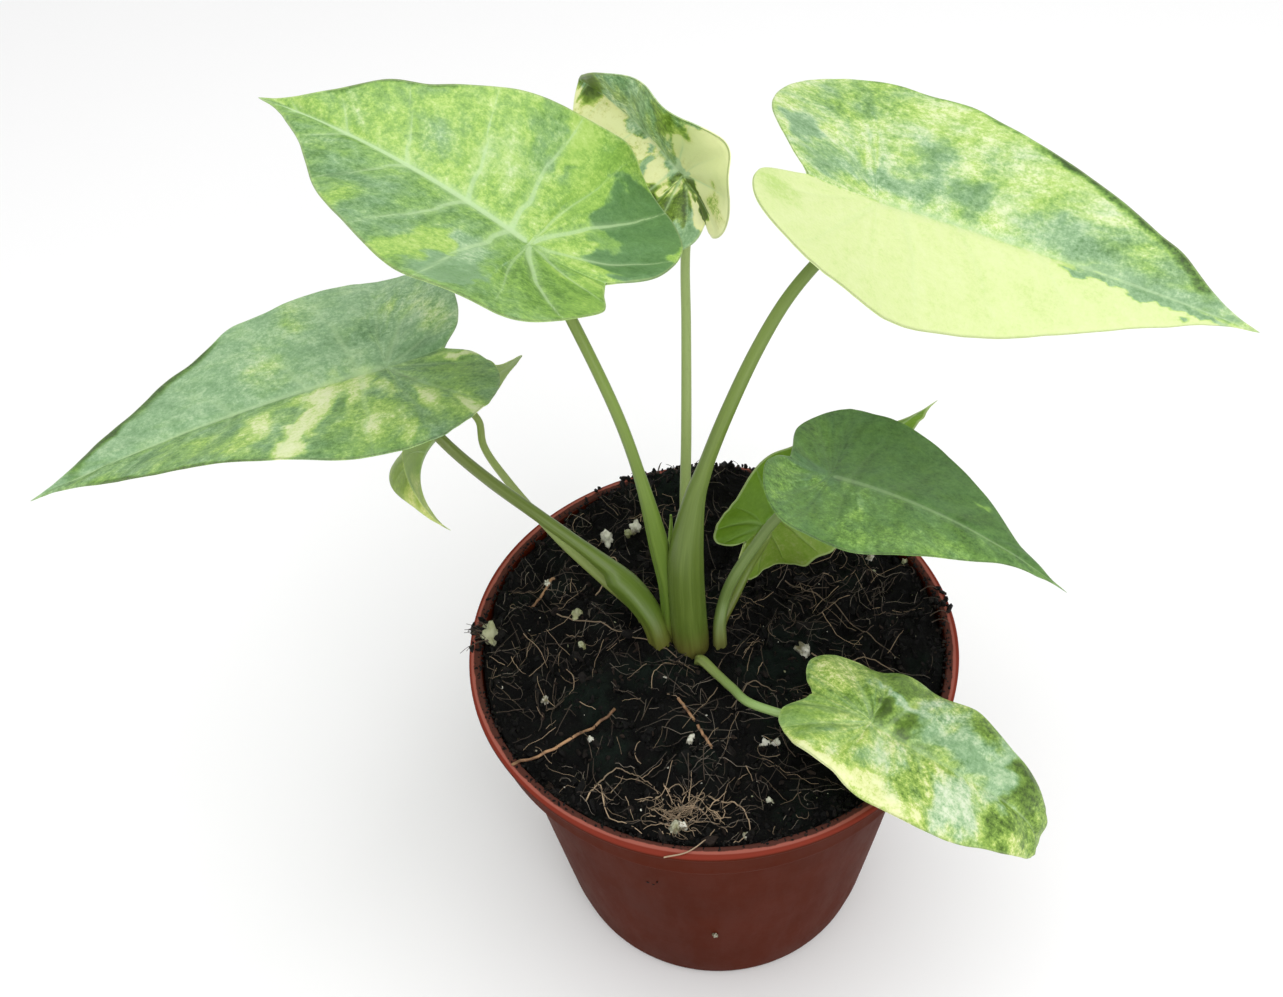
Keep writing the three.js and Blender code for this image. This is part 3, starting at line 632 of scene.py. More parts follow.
# Crumbs on the lip are (count, seed)
SPILLED_CRUMBS = (240, 8)
LIP_CRUMBS = (900, 9)
# Fibres are (count, longest, thickest, seed)
DARK_FIBRES = (420, 15, 0.15, 21)
GREY_FIBRES = (330, 13, 0.1, 24)
TAN_FIBRES = (190, 17, 0.12, 22)
CLUMP_FIBRES = (120, 9, 0.16, 23)
RIM_FIBRES = (40, 31)
FIBRE_CURLS = [0.02, 0.05, 0.14]
LITTER_LIFT = 0.5
TWIG_RADIUS = 0.36
TWIG_RINGS = 14
ROOT_RADII = (0.18, 0.09)
ROOT_RINGS = 26
ROOT_ARCH = 0.5


# Colours


def srgb(red, green, blue):
    """A colour given as it looks on a screen, from 0 to 255, as the linear colour of the shaders."""
    return tuple(((c / 255 + 0.055) / 1.055) ** 2.4 if c > 10 else c / 3295 for c in (red, green, blue))


# Colours of tissue from dark green to cream
WARM_TISSUE = [
    (0.0, srgb(58, 88, 30)), (0.13, srgb(78, 116, 42)), (0.2, srgb(92, 134, 54)),
    (0.34, srgb(112, 156, 68)), (0.41, srgb(132, 176, 82)), (0.54, srgb(152, 196, 92)),
    (0.62, srgb(176, 212, 106)), (0.74, srgb(197, 225, 134)), (0.82, srgb(220, 236, 168)),
    (1.0, srgb(240, 246, 206)),
]
OLIVE_TISSUE = [
    (0.0, srgb(66, 88, 14)), (0.13, srgb(84, 108, 20)), (0.2, srgb(100, 126, 30)),
    (0.34, srgb(118, 144, 40)), (0.41, srgb(136, 162, 56)), (0.54, srgb(154, 180, 72)),
    (0.62, srgb(180, 200, 92)), (0.74, srgb(206, 218, 118)), (0.82, srgb(238, 236, 160)),
    (1.0, srgb(250, 252, 184)),
]
# Bluish grey-green: partly the tissue's own colour, partly painted sheen of the waxy surface
COOL_TISSUE_AND_SHEEN = [
    (0.0, srgb(58, 94, 54)), (0.13, srgb(74, 114, 66)), (0.2, srgb(90, 132, 80)),
    (0.34, srgb(110, 152, 98)), (0.42, srgb(128, 167, 118)), (0.54, srgb(146, 184, 136)),
    (0.64, srgb(170, 203, 156)), (0.78, srgb(200, 222, 182)), (1.0, srgb(230, 240, 212)),
]
VEIN_PALE = srgb(198, 226, 172)
MARGIN_PALE = srgb(206, 222, 160)
# How far speckles move the paleness and the greyness of tissue, whose grey is partly painted sheen
STREAK_SWING = 0.9
FLECK_SWING = 1.05
FINE_SWING = 0.8
GREY_SWING = 1.2
# The paler colour of an underside, and its share
UNDERSIDE = (srgb(160, 188, 128), 0.45)
BRIGHT_UNDERSIDE = (srgb(94, 138, 2), 0.72)

# Colours of each stalk at the soil and at the blade
STALK_COLOURS = {
    "upper_left": (srgb(98, 126, 42), srgb(122, 144, 62)),
    "upper_right": (srgb(84, 104, 34), srgb(120, 142, 64)),
    "low_left": (srgb(88, 112, 34), srgb(104, 118, 48)),
    "back": (srgb(140, 158, 84), srgb(166, 186, 116)),
    "right": (srgb(104, 126, 62), srgb(122, 142, 84)),
    "behind_right": (srgb(104, 124, 44), srgb(120, 140, 60)),
    "front": (srgb(124, 156, 78), srgb(156, 186, 118)),
    "hanging": (srgb(138, 154, 80), srgb(152, 166, 98)),
    "scale": (srgb(110, 142, 52), srgb(150, 180, 84)),
}
STALK_STREAK = srgb(146, 168, 84)
STALK_SPECK = srgb(92, 112, 52)
STALK_GROOVE = srgb(84, 112, 40)
STALK_FOOT = srgb(120, 84, 52)

POT_DARK = srgb(69, 22, 4)
POT_LIGHT = srgb(77, 26, 7)
POT_DUST = srgb(104, 58, 40)
# Painted light: the lip's top is lighter red and a paler painted highlight line runs near its inner edge;
# the dirt is real soil
LIP_TOP_PAINTED_LIGHT = srgb(124, 50, 38)
LIP_EDGE_PAINTED_HIGHLIGHT = srgb(164, 98, 86)
LIP_DIRT = srgb(34, 26, 22)
SOIL_BLACK = srgb(5, 5, 5)
SOIL_GREY = srgb(13, 12, 11)
SOIL_BROWN = srgb(40, 32, 27)
SOIL_MOSS = srgb(16, 27, 21)
CRUMB_TONES = [
    (0.0, srgb(4, 4, 4)), (0.6, srgb(10, 9, 8)), (0.85, srgb(22, 18, 16)), (1.0, srgb(44, 34, 28)),
]
DARK_FIBRE = (0.05, 0.035, 0.024)
TAN_FIBRE = (0.27, 0.195, 0.125)
GREY_FIBRE = (0.15, 0.125, 0.098)
BARK_DARK = srgb(96, 66, 44)
BARK_LIGHT = srgb(176, 136, 100)
PERLITE_WHITE = srgb(226, 224, 210)
PERLITE_DIRT = srgb(112, 106, 76)
PERLITE_GREEN = srgb(150, 154, 104)
FLOOR_DARK = (0.93, 0.93, 0.93)
FLOOR_LIGHT = (0.95, 0.95, 0.95)


# Numbers and curves


def smoothstep(low, high, value):
    x = np.clip((value - low) / (high - low), 0, 1)
    return x * x * (3 - 2 * x)


def spline(points, place):
    """Points on the smooth line through a list of points; place runs from 0 to 1."""
    points = np.asarray(points, float)
    last = len(points) - 1
    padded = np.vstack([2 * points[0] - points[1], points, 2 * points[-1] - points[-2]])
    place = np.asarray(place, float) * last
    index = np.clip(place.astype(int), 0, last - 1)
    f = (place - index)[..., None]
    p0, p1, p2, p3 = (padded[index + k] for k in range(4))
    cubic = 3 * p1 - p0 - 3 * p2 + p3
    square = 2 * p0 - 5 * p1 + 4 * p2 - p3
    return 0.5 * (2 * p1 + (p2 - p0) * f + square * f**2 + cubic * f**3)


def centripetal_curve(points, count):
    """Points at even distances along the centripetal curve through a list of points."""
    points = np.asarray(points, float)
    padded = np.vstack([2 * points[0] - points[1], points, 2 * points[-1] - points[-2]])
    steps = np.sqrt(np.linalg.norm(np.diff(padded, axis=0), axis=1))
    fine = []
    for k in range(len(points) - 1):
        p0, p1, p2, p3 = padded[k : k + 4]
        d0, d1, d2 = steps[k : k + 3]
        start = d1 * ((p1 - p0) / d0 - (p2 - p0) / (d0 + d1) + (p2 - p1) / d1)
        end = d1 * ((p2 - p1) / d1 - (p3 - p1) / (d1 + d2) + (p3 - p2) / d2)
        f = np.linspace(0, 1, 24, endpoint=False)[:, None]
        square = 3 * (p2 - p1) - 2 * start - end
        cubic = 2 * (p1 - p2) + start + end
        fine.append(p1 + start * f + square * f**2 + cubic * f**3)
    fine = np.vstack(fine + [points[-1:]])
    lengths = np.concatenate([[0], np.cumsum(np.linalg.norm(np.diff(fine, axis=0), axis=1))])
    wanted = np.linspace(0, lengths[-1], count)
    return np.stack([np.interp(wanted, lengths, fine[:, k]) for k in range(3)], -1)


# Meshes


def add_mesh(name, points, faces, materials, attributes=None, face_materials=None, smooth=True):
    """A mesh piece from points in mm, which rides on the plant's one body."""
    mesh = bpy.data.meshes.new(name)
    mesh.from_pydata((np.asarray(points) * MM).tolist(), [], [list(map(int, face)) for face in faces])
    for material in materials:
        mesh.materials.append(material)
    if face_materials is not None:
        mesh.polygons.foreach_set("material_index", np.asarray(face_materials, np.int32))
    for key, values in (attributes or {}).items():
        kind, field = ("FLOAT_VECTOR", "vector") if np.ndim(values) == 2 else ("FLOAT", "value")
        layer = mesh.attributes.new(key, kind, "POINT")
        layer.data.foreach_set(field, np.ravel(values).astype(np.float32))
    mesh.polygons.foreach_set("use_smooth", [smooth] * len(mesh.polygons))
    mesh.update()
    piece = bpy.data.objects.new(name, mesh)
    bpy.context.scene.collection.objects.link(piece)
    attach(piece, "root")
    return piece


def add_joined(name, parts, material, smooth=True):
    """One piece of litter from parts that are (points, faces, tone), with the one material given."""
    points, faces, tones = [], [], []
    first = 0
    for part_points, part_faces, tone in parts:
        faces += [[corner + first for corner in face] for face in part_faces]
        first += len(part_points)
        points.append(part_points)
        tones.append(np.full(len(part_points), tone))
    attributes = {"tone": np.concatenate(tones)}
    add_mesh(name, np.vstack(points), faces, [material], attributes, smooth=smooth)


def grid_quads(ids):
    """Quads over a grid of point numbers."""
    a, b = ids[:-1, :-1], ids[1:, :-1]
    c, d = ids[1:, 1:], ids[:-1, 1:]
    return np.stack([a, b, c, d], -1).reshape(-1, 4)


def clean_faces(quads):
    """The quads as lists without repeated corners."""
    faces = [list(dict.fromkeys(quad)) for quad in quads.tolist()]
    return [corners for corners in faces if len(corners) > 2]


def ring_ids(rings, sides):
    """Point numbers of rings that close on themselves."""
    ids = np.arange(rings * sides).reshape(rings, sides)
    return np.hstack([ids, ids[:, :1]])


def end_caps(rings, sides):
    """The first and the last ring as faces."""
    return list(range(sides)), list(range((rings - 1) * sides, rings * sides))


def point_normals(points, quads):
    a, b, c, d = (points[quads[:, k]] for k in range(4))
    normals = np.zeros_like(points)
    face_normals = np.cross(c - a, d - b)
    for k in range(4):
        np.add.at(normals, quads[:, k], face_normals)
    return normals / np.maximum(np.linalg.norm(normals, axis=1, keepdims=True), 1e-12)


# Leaf blades


def unit_outline(leaf, side):
    outline = np.array(POINTED_HALF, float)
    outline[1, 1] *= leaf["drawn"][side]
    outline[2, 1] *= leaf["drawn"][side] ** 0.8
    outline[:5] += leaf["blunt"] * (np.array(BLUNT_START) - outline[:5])
    outline[3, 1] += leaf["shoulder"][0]
    outline[4, 1] += leaf["shoulder"][1]
    return np.vstack([outline, [-leaf["notch"], 0]])


def flat_place(leaf, side, s, t):
    """Flat place on row s (0 tip, 1 notch) at share t of the way from midrib to margin."""
    unit = unit_outline(leaf, side)
    notch = -leaf["notch"] * np.mean(leaf["lobes"])
    sized = unit * [1, leaf["widths"][side]]
    sized[:, 0] *= np.where(unit[:, 0] > 0, leaf["length"], leaf["lobes"][side])
    sized[-1] = (notch, 0)
    margin = spline(sized, s)
    ripple = leaf["ripple"] * clouds(s * leaf["length"] * 0.17, s * 0 + 3.7 * side, leaf["length"])
    margin[..., 1] += ripple * smoothstep(0, 0.15, s) * smoothstep(0.97, 0.85, s)
    for bump_side, place, height, reach in leaf["bumps"]:
        if bump_side == side:
            margin[..., 1] += height * np.exp(-(((margin[..., 0] - place) / reach) ** 2))
    u = spline(unit, s)[..., 0]
    past = np.clip((s - STALK_ROW) / (1 - STALK_ROW), 0, None)
    ahead = leaf["length"] * np.clip(u, 0, None) * (0.35 + 0.65 * u)
    root = np.where(s < STALK_ROW, ahead, notch * past**1.6)
    return root, root + (margin[..., 0] - root) * t, np.abs(margin[..., 1]) * t


def midrib_directions(leaf, along):
    u = along / leaf["length"]
    ahead = -math.radians(leaf["droop"]) * np.clip(u, 0, None) ** leaf["droop_power"]
    behind = math.radians(leaf["rise"]) * -along / np.mean(leaf["lobes"])
    pitch = np.where(u > 0, ahead, behind)
    yaw = math.radians(leaf["sweep"]) * u
    forward = np.stack([np.cos(pitch) * np.cos(yaw), np.cos(pitch) * np.sin(yaw), np.sin(pitch)], -1)
    sideways = np.stack([-np.sin(yaw), np.cos(yaw), np.zeros_like(yaw)], -1)
    return forward, sideways


def bend(leaf, side, along, across):
    """Brings flat places of a half blade to their places in the blade's own frame."""
    stations = np.linspace(-1.4 * max(leaf["lobes"]), 1.05 * leaf["length"], 1200)
    forward, _ = midrib_directions(leaf, stations)
    steps = (forward[1:] + forward[:-1]) / 2 * (stations[1] - stations[0])
    path = np.vstack([[0, 0, 0], np.cumsum(steps, 0)])
    path -= [np.interp(0, stations, path[:, k]) for k in range(3)]
    middle = np.stack([np.interp(along, stations, path[:, k]) for k in range(3)], -1)

    forward, sideways = midrib_directions(leaf, along)
    up = np.cross(forward, sideways)
    u = along / leaf["length"]
    twist = math.radians(leaf["twist"]) * np.clip(u, -1, 1)
    cos, sin = np.cos(twist)[..., None], np.sin(twist)[..., None]
    sideways, up = sideways * cos + up * sin, up * cos - sideways * sin

    width = leaf["widths"][side]
    fold = math.radians(leaf["fold"][side])
    curl = (math.radians(leaf["cup"][side]) or 1e-6) / width
    out = (np.sin(fold + curl * across) - math.sin(fold)) / curl
    height = (math.cos(fold) - np.cos(fold + curl * across)) / curl
    behind = np.clip(-along / np.mean(leaf["lobes"]), 0, 1.2)
    height = height + leaf["lift"][side] * behind**2 * np.sqrt(across / width)
    wave_height, wave_count, wave_phase = leaf["wave"]
    phase = math.radians(wave_phase) + (0 if side == 0 else 0.6 * math.pi)
    wave = wave_height * np.sin(2 * math.pi * wave_count * u + phase)
    height = height + wave * (across / width) ** 2
    sign = 1 if side == 0 else -1
    return middle + sideways * (sign * out)[..., None] + up * height[..., None]


def turn_of(leaf):
    heading, pitch, roll = (math.radians(leaf["turned"][key]) for key in ("heading", "pitch", "roll"))
    turn = Matrix.Rotation(heading, 3, "Z") @ Matrix.Rotation(-pitch, 3, "Y")
    return np.array(turn @ Matrix.Rotation(roll, 3, "X"))


def clouds(x, y, seed):
    """Smooth noise from -1 to 1 over two coordinates, in three octaves."""
    total = np.zeros_like(x)
    for octave in range(3):
        u, v = x * 2**octave + 7.3 * octave, y * 2**octave + seed
        cell_u, cell_v = np.floor(u), np.floor(v)
        f, g = smoothstep(0, 1, u - cell_u), smoothstep(0, 1, v - cell_v)
        corner = [
            np.modf(np.abs(np.sin((cell_u + i) * 127.1 + (cell_v + j) * 311.7 + 1.7)) * 4375.85)[0]
            for i in (0, 1)
            for j in (0, 1)
        ]
        low = corner[0] + (corner[1] - corner[0]) * g
        high = corner[2] + (corner[3] - corner[2]) * g
        total += (2 * (low + (high - low) * f) - 1) * 0.55**octave
    return total / 1.6


def tissue_at(marks, along, across, from_middle):
    """Pale, grey and mottle at flat places, from the halves' tissue with its patches on top."""
    left, right = (np.array(tissue) for tissue in marks["halves"])
    share = smoothstep(-0.4, 0.4, from_middle)[..., None]
    tissue = right + (left - right) * share
    for x, y, long, short, degrees, soft, *values in marks["patches"]:
        turned = math.radians(degrees)
        u = (along - x) * math.cos(turned) + (across - y) * math.sin(turned)
        v = (across - y) * math.cos(turned) - (along - x) * math.sin(turned)
        weight = smoothstep(1 + soft, 1 - soft, np.hypot(u / long, v / short))[..., None]
        tissue = tissue + (np.array(values) - tissue) * weight
    return tissue


def vein_numbers(leaf, s, t, outward):
    """Counts the side veins from tip to notch: whole on a vein, and broken between two of them."""
    past = np.clip((s - STALK_ROW) / (1 - STALK_ROW), 1e-6, None)
    fanned = STALK_ROW + (1 - STALK_ROW) * past ** (np.maximum(t, 1e-4) ** 0.35)
    row = np.where(s < STALK_ROW, s, fanned)
    vein = np.interp(row, np.transpose(VEINS)[0], np.arange(len(VEINS)))
    return vein + 0.09 * clouds(outward * 0.09, vein * 0.8, leaf["length"]) * smoothstep(0, 0.2, t)


def flat_distances(s, t, along, across, vein):
    """Over the flat blade in mm: how far apart its veins are, how far one is, and how far the margin is."""
    along_s, along_t = np.gradient(along, s[:, 0], t[0])
    across_s, across_t = np.gradient(across, s[:, 0], t[0])
    vein_s, vein_t = np.gradient(vein, s[:, 0], t[0])
    area = np.maximum(np.abs(along_s * across_t - across_s * along_t), 1e-3)
    slope_x = (vein_s * across_t - vein_t * across_s) / area
    slope_y = (vein_t * along_s - vein_s * along_t) / area
    spacing = 1 / np.maximum(np.hypot(slope_x, slope_y), 1e-3)
    spacing = np.clip(spacing, 0, 14)
    from_vein = np.abs(vein - np.round(vein)) * spacing
    to_margin = (1 - t) * area / np.maximum(np.hypot(along_s, across_s), 1e-3)
    return spacing, from_vein, to_margin


def blade_relief(leaf, t, flat, strength, behind):
    """Heights of the upper and the lower face, the blade's thickness and how far its midrib stands out."""
    across = np.abs(flat["across"])
    swell = leaf["quilt"] * np.sin(np.pi * flat["vein"]) ** 2
    swell = swell * smoothstep(0, 0.25, t) * smoothstep(1, 0.8, t) * smoothstep(1, 7, flat["spacing"])
    vein_line = np.exp(-((flat["from_vein"] / 0.7) ** 2)) * (1 - 0.8 * t)
    vein_line = vein_line * smoothstep(0.02, 0.1, t) * strength
    midrib_line = np.exp(-((across / 1.3) ** 2)) * (1 - behind)
    midrib = np.clip(1 - np.abs(flat["along"]) / leaf["length"], 0, 1)
    inner = (BLADE_THICKNESS - EDGE_THICKNESS) * smoothstep(0, 1.2, flat["to_margin"])
    return {
        "top": swell - VEIN_GROOVE * vein_line - MIDRIB_GROOVE * midrib_line,
        "bottom": 0.8 * swell - VEIN_RIDGE * vein_line,
        "thickness": EDGE_THICKNESS + inner,
        "midrib": midrib * np.exp(-((across / 1.1) ** 2)) * (1 - 0.6 * behind),
    }


def blade_lines(leaf, t, flat, strength, behind):
    """What the materials read to draw the veins, the midrib and the margin."""
    size = leaf["length"]
    thin, more = VEIN_WIDTH
    vein_pale, midrib_pale, margin_pale = leaf["veins"]
    midrib_width = MIDRIB_WIDTH * np.clip(1 - flat["along"] / size, 0.12, 1) * (1 - behind)
    return {
        "vein_width": (thin + more * strength) * (1 - 0.8 * t) * size / USUAL_LENGTH,
        "vein_pale": vein_pale * (thin + more * strength) * (1 - 0.4 * t),
        "midrib_width": midrib_width * size / USUAL_LENGTH,
        "midrib_pale": np.full_like(t, midrib_pale),
        "from_midrib": np.abs(flat["across"]) + 6 * behind,
        "margin_pale": np.full_like(t, margin_pale),
    }


def marked_tissue(leaf, marks, side, flat):
    """Pale, grey and mottle with ragged patches, and with the bands along the margin."""
    along, across = flat["along"], flat["across"]
    raggedness = clouds(flat["outward"] * 0.1, flat["vein"] * 2.4, 40 * side + leaf["length"])
    ragged = RAGGED * marks["warp"] * raggedness
    jagged = JAGGED * clouds(along * 0.3, np.abs(across) * 0.3, leaf["length"])
    from_middle = across + 0.2 * jagged + marks["shift"]
    tissue = tissue_at(marks, along + ragged + jagged, across + 0.5 * ragged - jagged, from_middle)
    for half, start, end, width, *values in marks["bands"]:
        if half == side:
            reach = smoothstep(start, start + BAND_FADE, along) * smoothstep(end, end - BAND_FADE, along)
            inside = smoothstep(width, 0.3 * width, flat["to_margin"] + 0.4 * jagged)
            tissue[..., :2] += (np.array(values) - tissue[..., :2]) * (reach * inside)[..., None]
    return tissue


def half_blade(leaf, marks, side, rows, columns):
    """Grids over one half of a blade: places, relief and what its materials read."""
    s = np.linspace(0, 1, rows + 1)[:, None] + np.zeros((1, columns + 1))
    t = np.linspace(0, 1, columns + 1)[None, :] ** 0.92 + np.zeros((rows + 1, 1))
    root, along, across = flat_place(leaf, side, s, t)
    outward = np.hypot(along - root, across)
    vein = vein_numbers(leaf, s, t, outward)
    spacing, from_vein, to_margin = flat_distances(s, t, along, across, vein)
    flat = {
        "along": along,
        "across": across if side == 0 else -across,
        "outward": outward,
        "vein": vein,
        "spacing": spacing,
        "from_vein": from_vein,
        "to_margin": to_margin,
    }
    strength = np.transpose(VEINS)[1][np.clip(np.round(vein), 0, len(VEINS) - 1).astype(int)]
    behind = smoothstep(1.5, -1.5, along)
    tissue = marked_tissue(leaf, marks, side, flat)
    return {
        "points": bend(leaf, side, along, across),
        **flat,
        **blade_relief(leaf, t, flat, strength, behind),
        **blade_lines(leaf, t, flat, strength, behind),
        "olive": np.full_like(s, marks["olive"]),
        "pale": tissue[..., 0],
        "grey": tissue[..., 1],
        "mottle": tissue[..., 2],
    }


def weld_halves(halves, rows, columns):
    """Point numbers of the two grids, which share the midrib and both ends, and each point's source."""
    middle = np.arange(rows + 1)
    grids, sources = [], [(0, i, 0) for i in range(rows + 1)]
    for side in (0, 1):
        ids = np.zeros((rows + 1, columns + 1), int)
        ids[:, 0] = middle
        ids[0, :] = middle[0]
        ids[rows, :] = middle[rows]
        for i in range(1, rows):
            ids[i, 1:] = len(sources) + np.arange(columns)
            sources.extend((side, i, j) for j in range(1, columns + 1))
        grids.append(ids)
    side, row, column = np.array(sources).T
    values = {}
    for key in halves[0]:
        both = np.stack([halves[0][key], halves[1][key]])
        values[key] = both[side, row, column]
    return grids, values


def blade_faces(quads, grids, columns, count):
    """Faces of the closed blade, and the material of each: 0 above and round the margin, 1 below."""
    margin = np.concatenate([grids[0][:, columns], grids[1][-2:0:-1, columns]])
    after = np.roll(margin, -1)
    upper = clean_faces(quads)
    under = clean_faces(quads[:, ::-1] + count)
    edge = clean_faces(np.stack([margin, after, after + count, margin + count], -1))
    return upper + under + edge, [0] * len(upper) + [1] * len(under) + [0] * len(edge)


def blade_attributes(values, index):
    """What the materials read at each point of both faces; each blade has its own layer of the noise."""
    keys = ["from_vein", "vein_width", "vein_pale", "from_midrib", "midrib_width", "midrib_pale"]
    keys += ["to_margin", "margin_pale", "olive", "pale", "grey", "mottle"]
    attributes = {key: np.tile(values[key], 2) for key in keys}
    layer = np.full(len(values["along"]), 31.0 * index)
    grain = np.stack([values["outward"], values["vein"] * 8, layer], -1)
    flat = np.stack([values["along"], values["across"], layer], -1)
    attributes["grain"] = np.tile(grain, (2, 1))
    attributes["flat"] = np.tile(flat, (2, 1))
    return attributes


def make_blade(name, leaf, index):
    rows, columns = FINE_GRID if name in FINE_BLADES else PLAIN_GRID
    marks = {**MARKING_DEFAULTS, **MARKINGS[name]}
    halves = [half_blade(leaf, marks, side, rows, columns) for side in (0, 1)]
    grids, values = weld_halves(halves, rows, columns)
    turn = turn_of(leaf)
    middle = values["points"] @ turn.T + np.array(leaf["stalk"][-1])
    quads = np.vstack([grid_quads(grids[0])[:, ::-1], grid_quads(grids[1])])
    normals = point_normals(middle, quads)
    if (normals @ turn[:, 2]).mean() < 0:
        normals = -normals
        quads = quads[:, ::-1]
    half = values["thickness"][:, None] / 2
    top = middle + normals * (half + values["top"][:, None])
    rib = MIDRIB_DEPTH * values["midrib"][:, None]
    bottom = middle - normals * (half + rib) + normals * values["bottom"][:, None]
    points = np.vstack([top, bottom])
    faces, face_materials = blade_faces(quads, grids, columns, len(middle))
    glow = leaf["glow"]
    materials = [blade_upper_material(glow), blade_under_material(leaf["bright_under"], glow)]
    node = f"blade_{name}"
    attributes = blade_attributes(values, index)
    piece = add_mesh(f"leaf_{name}", points, faces, materials, attributes, face_materials)
    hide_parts(node)


# Leaf stalks


def stalk_path(leaf, count):
    """Centres, tangents and upper sides of a stalk's rings, from below the soil to the blade."""
    up = turn_of(leaf)[:, 2]
    joint = np.array(leaf["stalk"][-1], float)
    seat = joint - up * 0.9
    bend_point = seat - up * (2.2 * leaf["radii"][1] + 0.8)
    centres = centripetal_curve(np.vstack([leaf["stalk"][:-1], bend_point, seat]), count)
    tangents = np.gradient(centres, axis=0)
    tangents /= np.linalg.norm(tangents, axis=1, keepdims=True)
    uppers = np.zeros_like(centres)
    upper = np.array([0, 0, 1.0])
    for k in range(count - 1, -1, -1):
        upper = upper - tangents[k] * (upper @ tangents[k])
        upper /= np.linalg.norm(upper)
        uppers[k] = upper
    return centres, tangents, uppers


def stalk_radii(leaf, place):
    low, high = leaf["radii"]
    extra, share = leaf["sheath"]
    sheath = smoothstep(0, 0.5, 1 - place / share)
    return high + (low - high) * (1 - place) + extra * sheath, sheath


def ring_shape(leaf, place, from_top):
    """Each ring's distance from the stalk's middle line, and how deep its groove is."""
    radii, sheath = stalk_radii(leaf, place)
    groove = np.exp(-((from_top / GROOVE_WIDTH) ** 2))
    wings = np.exp(-(((from_top - WING_PLACE) / WING_WIDTH) ** 2))
    depth = (0.06 + 0.1 * sheath)[:, None]
    shape = radii[:, None] * (1 - depth * groove + (0.02 + 0.06 * sheath)[:, None] * wings)
    end = leaf["ledge"]
    if end:
        shoulder = smoothstep(end + 0.012, end - 0.008, place) * smoothstep(end - 0.22, end - 0.02, place)
        shape = shape * (1 + LEDGE_HEIGHT * shoulder[:, None] * np.exp(-((from_top / LEDGE_WIDTH) ** 2)))
    return shape, groove * (0.3 + 0.7 * sheath)[:, None]


def make_stalk(node, name, leaf, material, rings, sides):
    centres, tangents, uppers = stalk_path(leaf, rings)
    sides_way = np.cross(tangents, uppers)
    place = np.linspace(0, 1, rings)
    angle = np.linspace(0, 2 * np.pi, sides, endpoint=False)
    from_top = np.abs((angle + np.pi) % (2 * np.pi) - np.pi)
    shape, groove = ring_shape(leaf, place, from_top)
    cos, sin = np.cos(angle)[None, :, None], np.sin(angle)[None, :, None]
    around = uppers[:, None, :] * cos + sides_way[:, None, :] * sin
    points = (centres[:, None, :] + around * shape[..., None]).reshape(-1, 3)
    foot, end = end_caps(rings, sides)
    faces = grid_quads(ring_ids(rings, sides))[:, ::-1].tolist() + [foot, end[::-1]]
    length = np.linalg.norm(np.diff(centres, axis=0), axis=1).sum()
    seed = sum(map(ord, node))
    grain = [
        np.tile(np.cos(angle) * 3, rings),
        np.tile(np.sin(angle) * 3, rings),
        np.repeat(place * length * 0.12 + seed, sides),
    ]
    attributes = {
        "grain": np.stack(grain, -1),
        "above_soil": points[:, 2] - (RIM - SOIL_DROP),
        "place": np.repeat(place, sides),
        "groove": groove.ravel(),
    }
    piece = add_mesh(name, points, faces, [material], attributes)
    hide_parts(node)


# Pot


def arc(centre, radius, start, end, steps):
    angles = np.radians(np.linspace(start, end, steps + 1))
    return [(centre[0] + radius * math.cos(a), centre[1] + radius * math.sin(a)) for a in angles]


def body_radius(z):
    return BASE_RADIUS + (STEP_RADIUS - BASE_RADIUS) * z / STEP_HEIGHT


def lathe(profile, sides):
    """Points and faces of a closed turned shape, from a profile that starts and ends near the axis."""
    angle = np.linspace(0, 2 * np.pi, sides, endpoint=False)
    radius, height = np.transpose(profile)[..., None]
    points = np.stack([radius * np.cos(angle), radius * np.sin(angle), height + 0 * angle], -1)
    foot, end = end_caps(len(profile), sides)
    faces = grid_quads(ring_ids(len(profile), sides))[:, ::-1].tolist() + [foot, end[::-1]]
    return points.reshape(-1, 3), faces


def pot_profile():
    inner_round = 2.4
    return [
        (2, 0),
        *arc((body_radius(0) - 3, 3), 3, -90, -6, 8),
        *[(body_radius(z), z) for z in np.linspace(8, STEP_HEIGHT - 1.2, 12)],
        *arc((STEP_RADIUS + 1.0, STEP_HEIGHT - 0.4), 0.9, 180, 95, 4),
        *arc((COLLAR_FOOT - 1.2, STEP_HEIGHT + 1.5), 1.2, -80, 0, 5),
        *[(COLLAR_FOOT + 0.6 * k / 4, STEP_HEIGHT + 2.5 + 1.8 * k) for k in range(5)],
        (COLLAR_RADIUS, RIM - 2.6),
        *arc((RIM_RADIUS - 0.8, RIM - 1.4), 0.8, -90, 0, 4),
        *arc((RIM_RADIUS - 0.8, RIM - 0.8), 0.8, 10, 90, 5),
        (RIM_RADIUS - 1.6, RIM),
        *arc((RIM_RADIUS - 2.4, RIM - 0.6), 0.6, 80, 180, 4),
        (COLLAR_RADIUS - WALL, RIM - 3),
        (COLLAR_FOOT - WALL, STEP_HEIGHT + 1),
        (STEP_RADIUS - WALL, STEP_HEIGHT - 1.4),
        *[(body_radius(z) - WALL, z) for z in np.linspace(STEP_HEIGHT - 8, 8, 6)],
        *arc((body_radius(0) - WALL - inner_round, FLOOR + inner_round), inner_round, 0, -90, 6),
        (2, FLOOR),
    ]


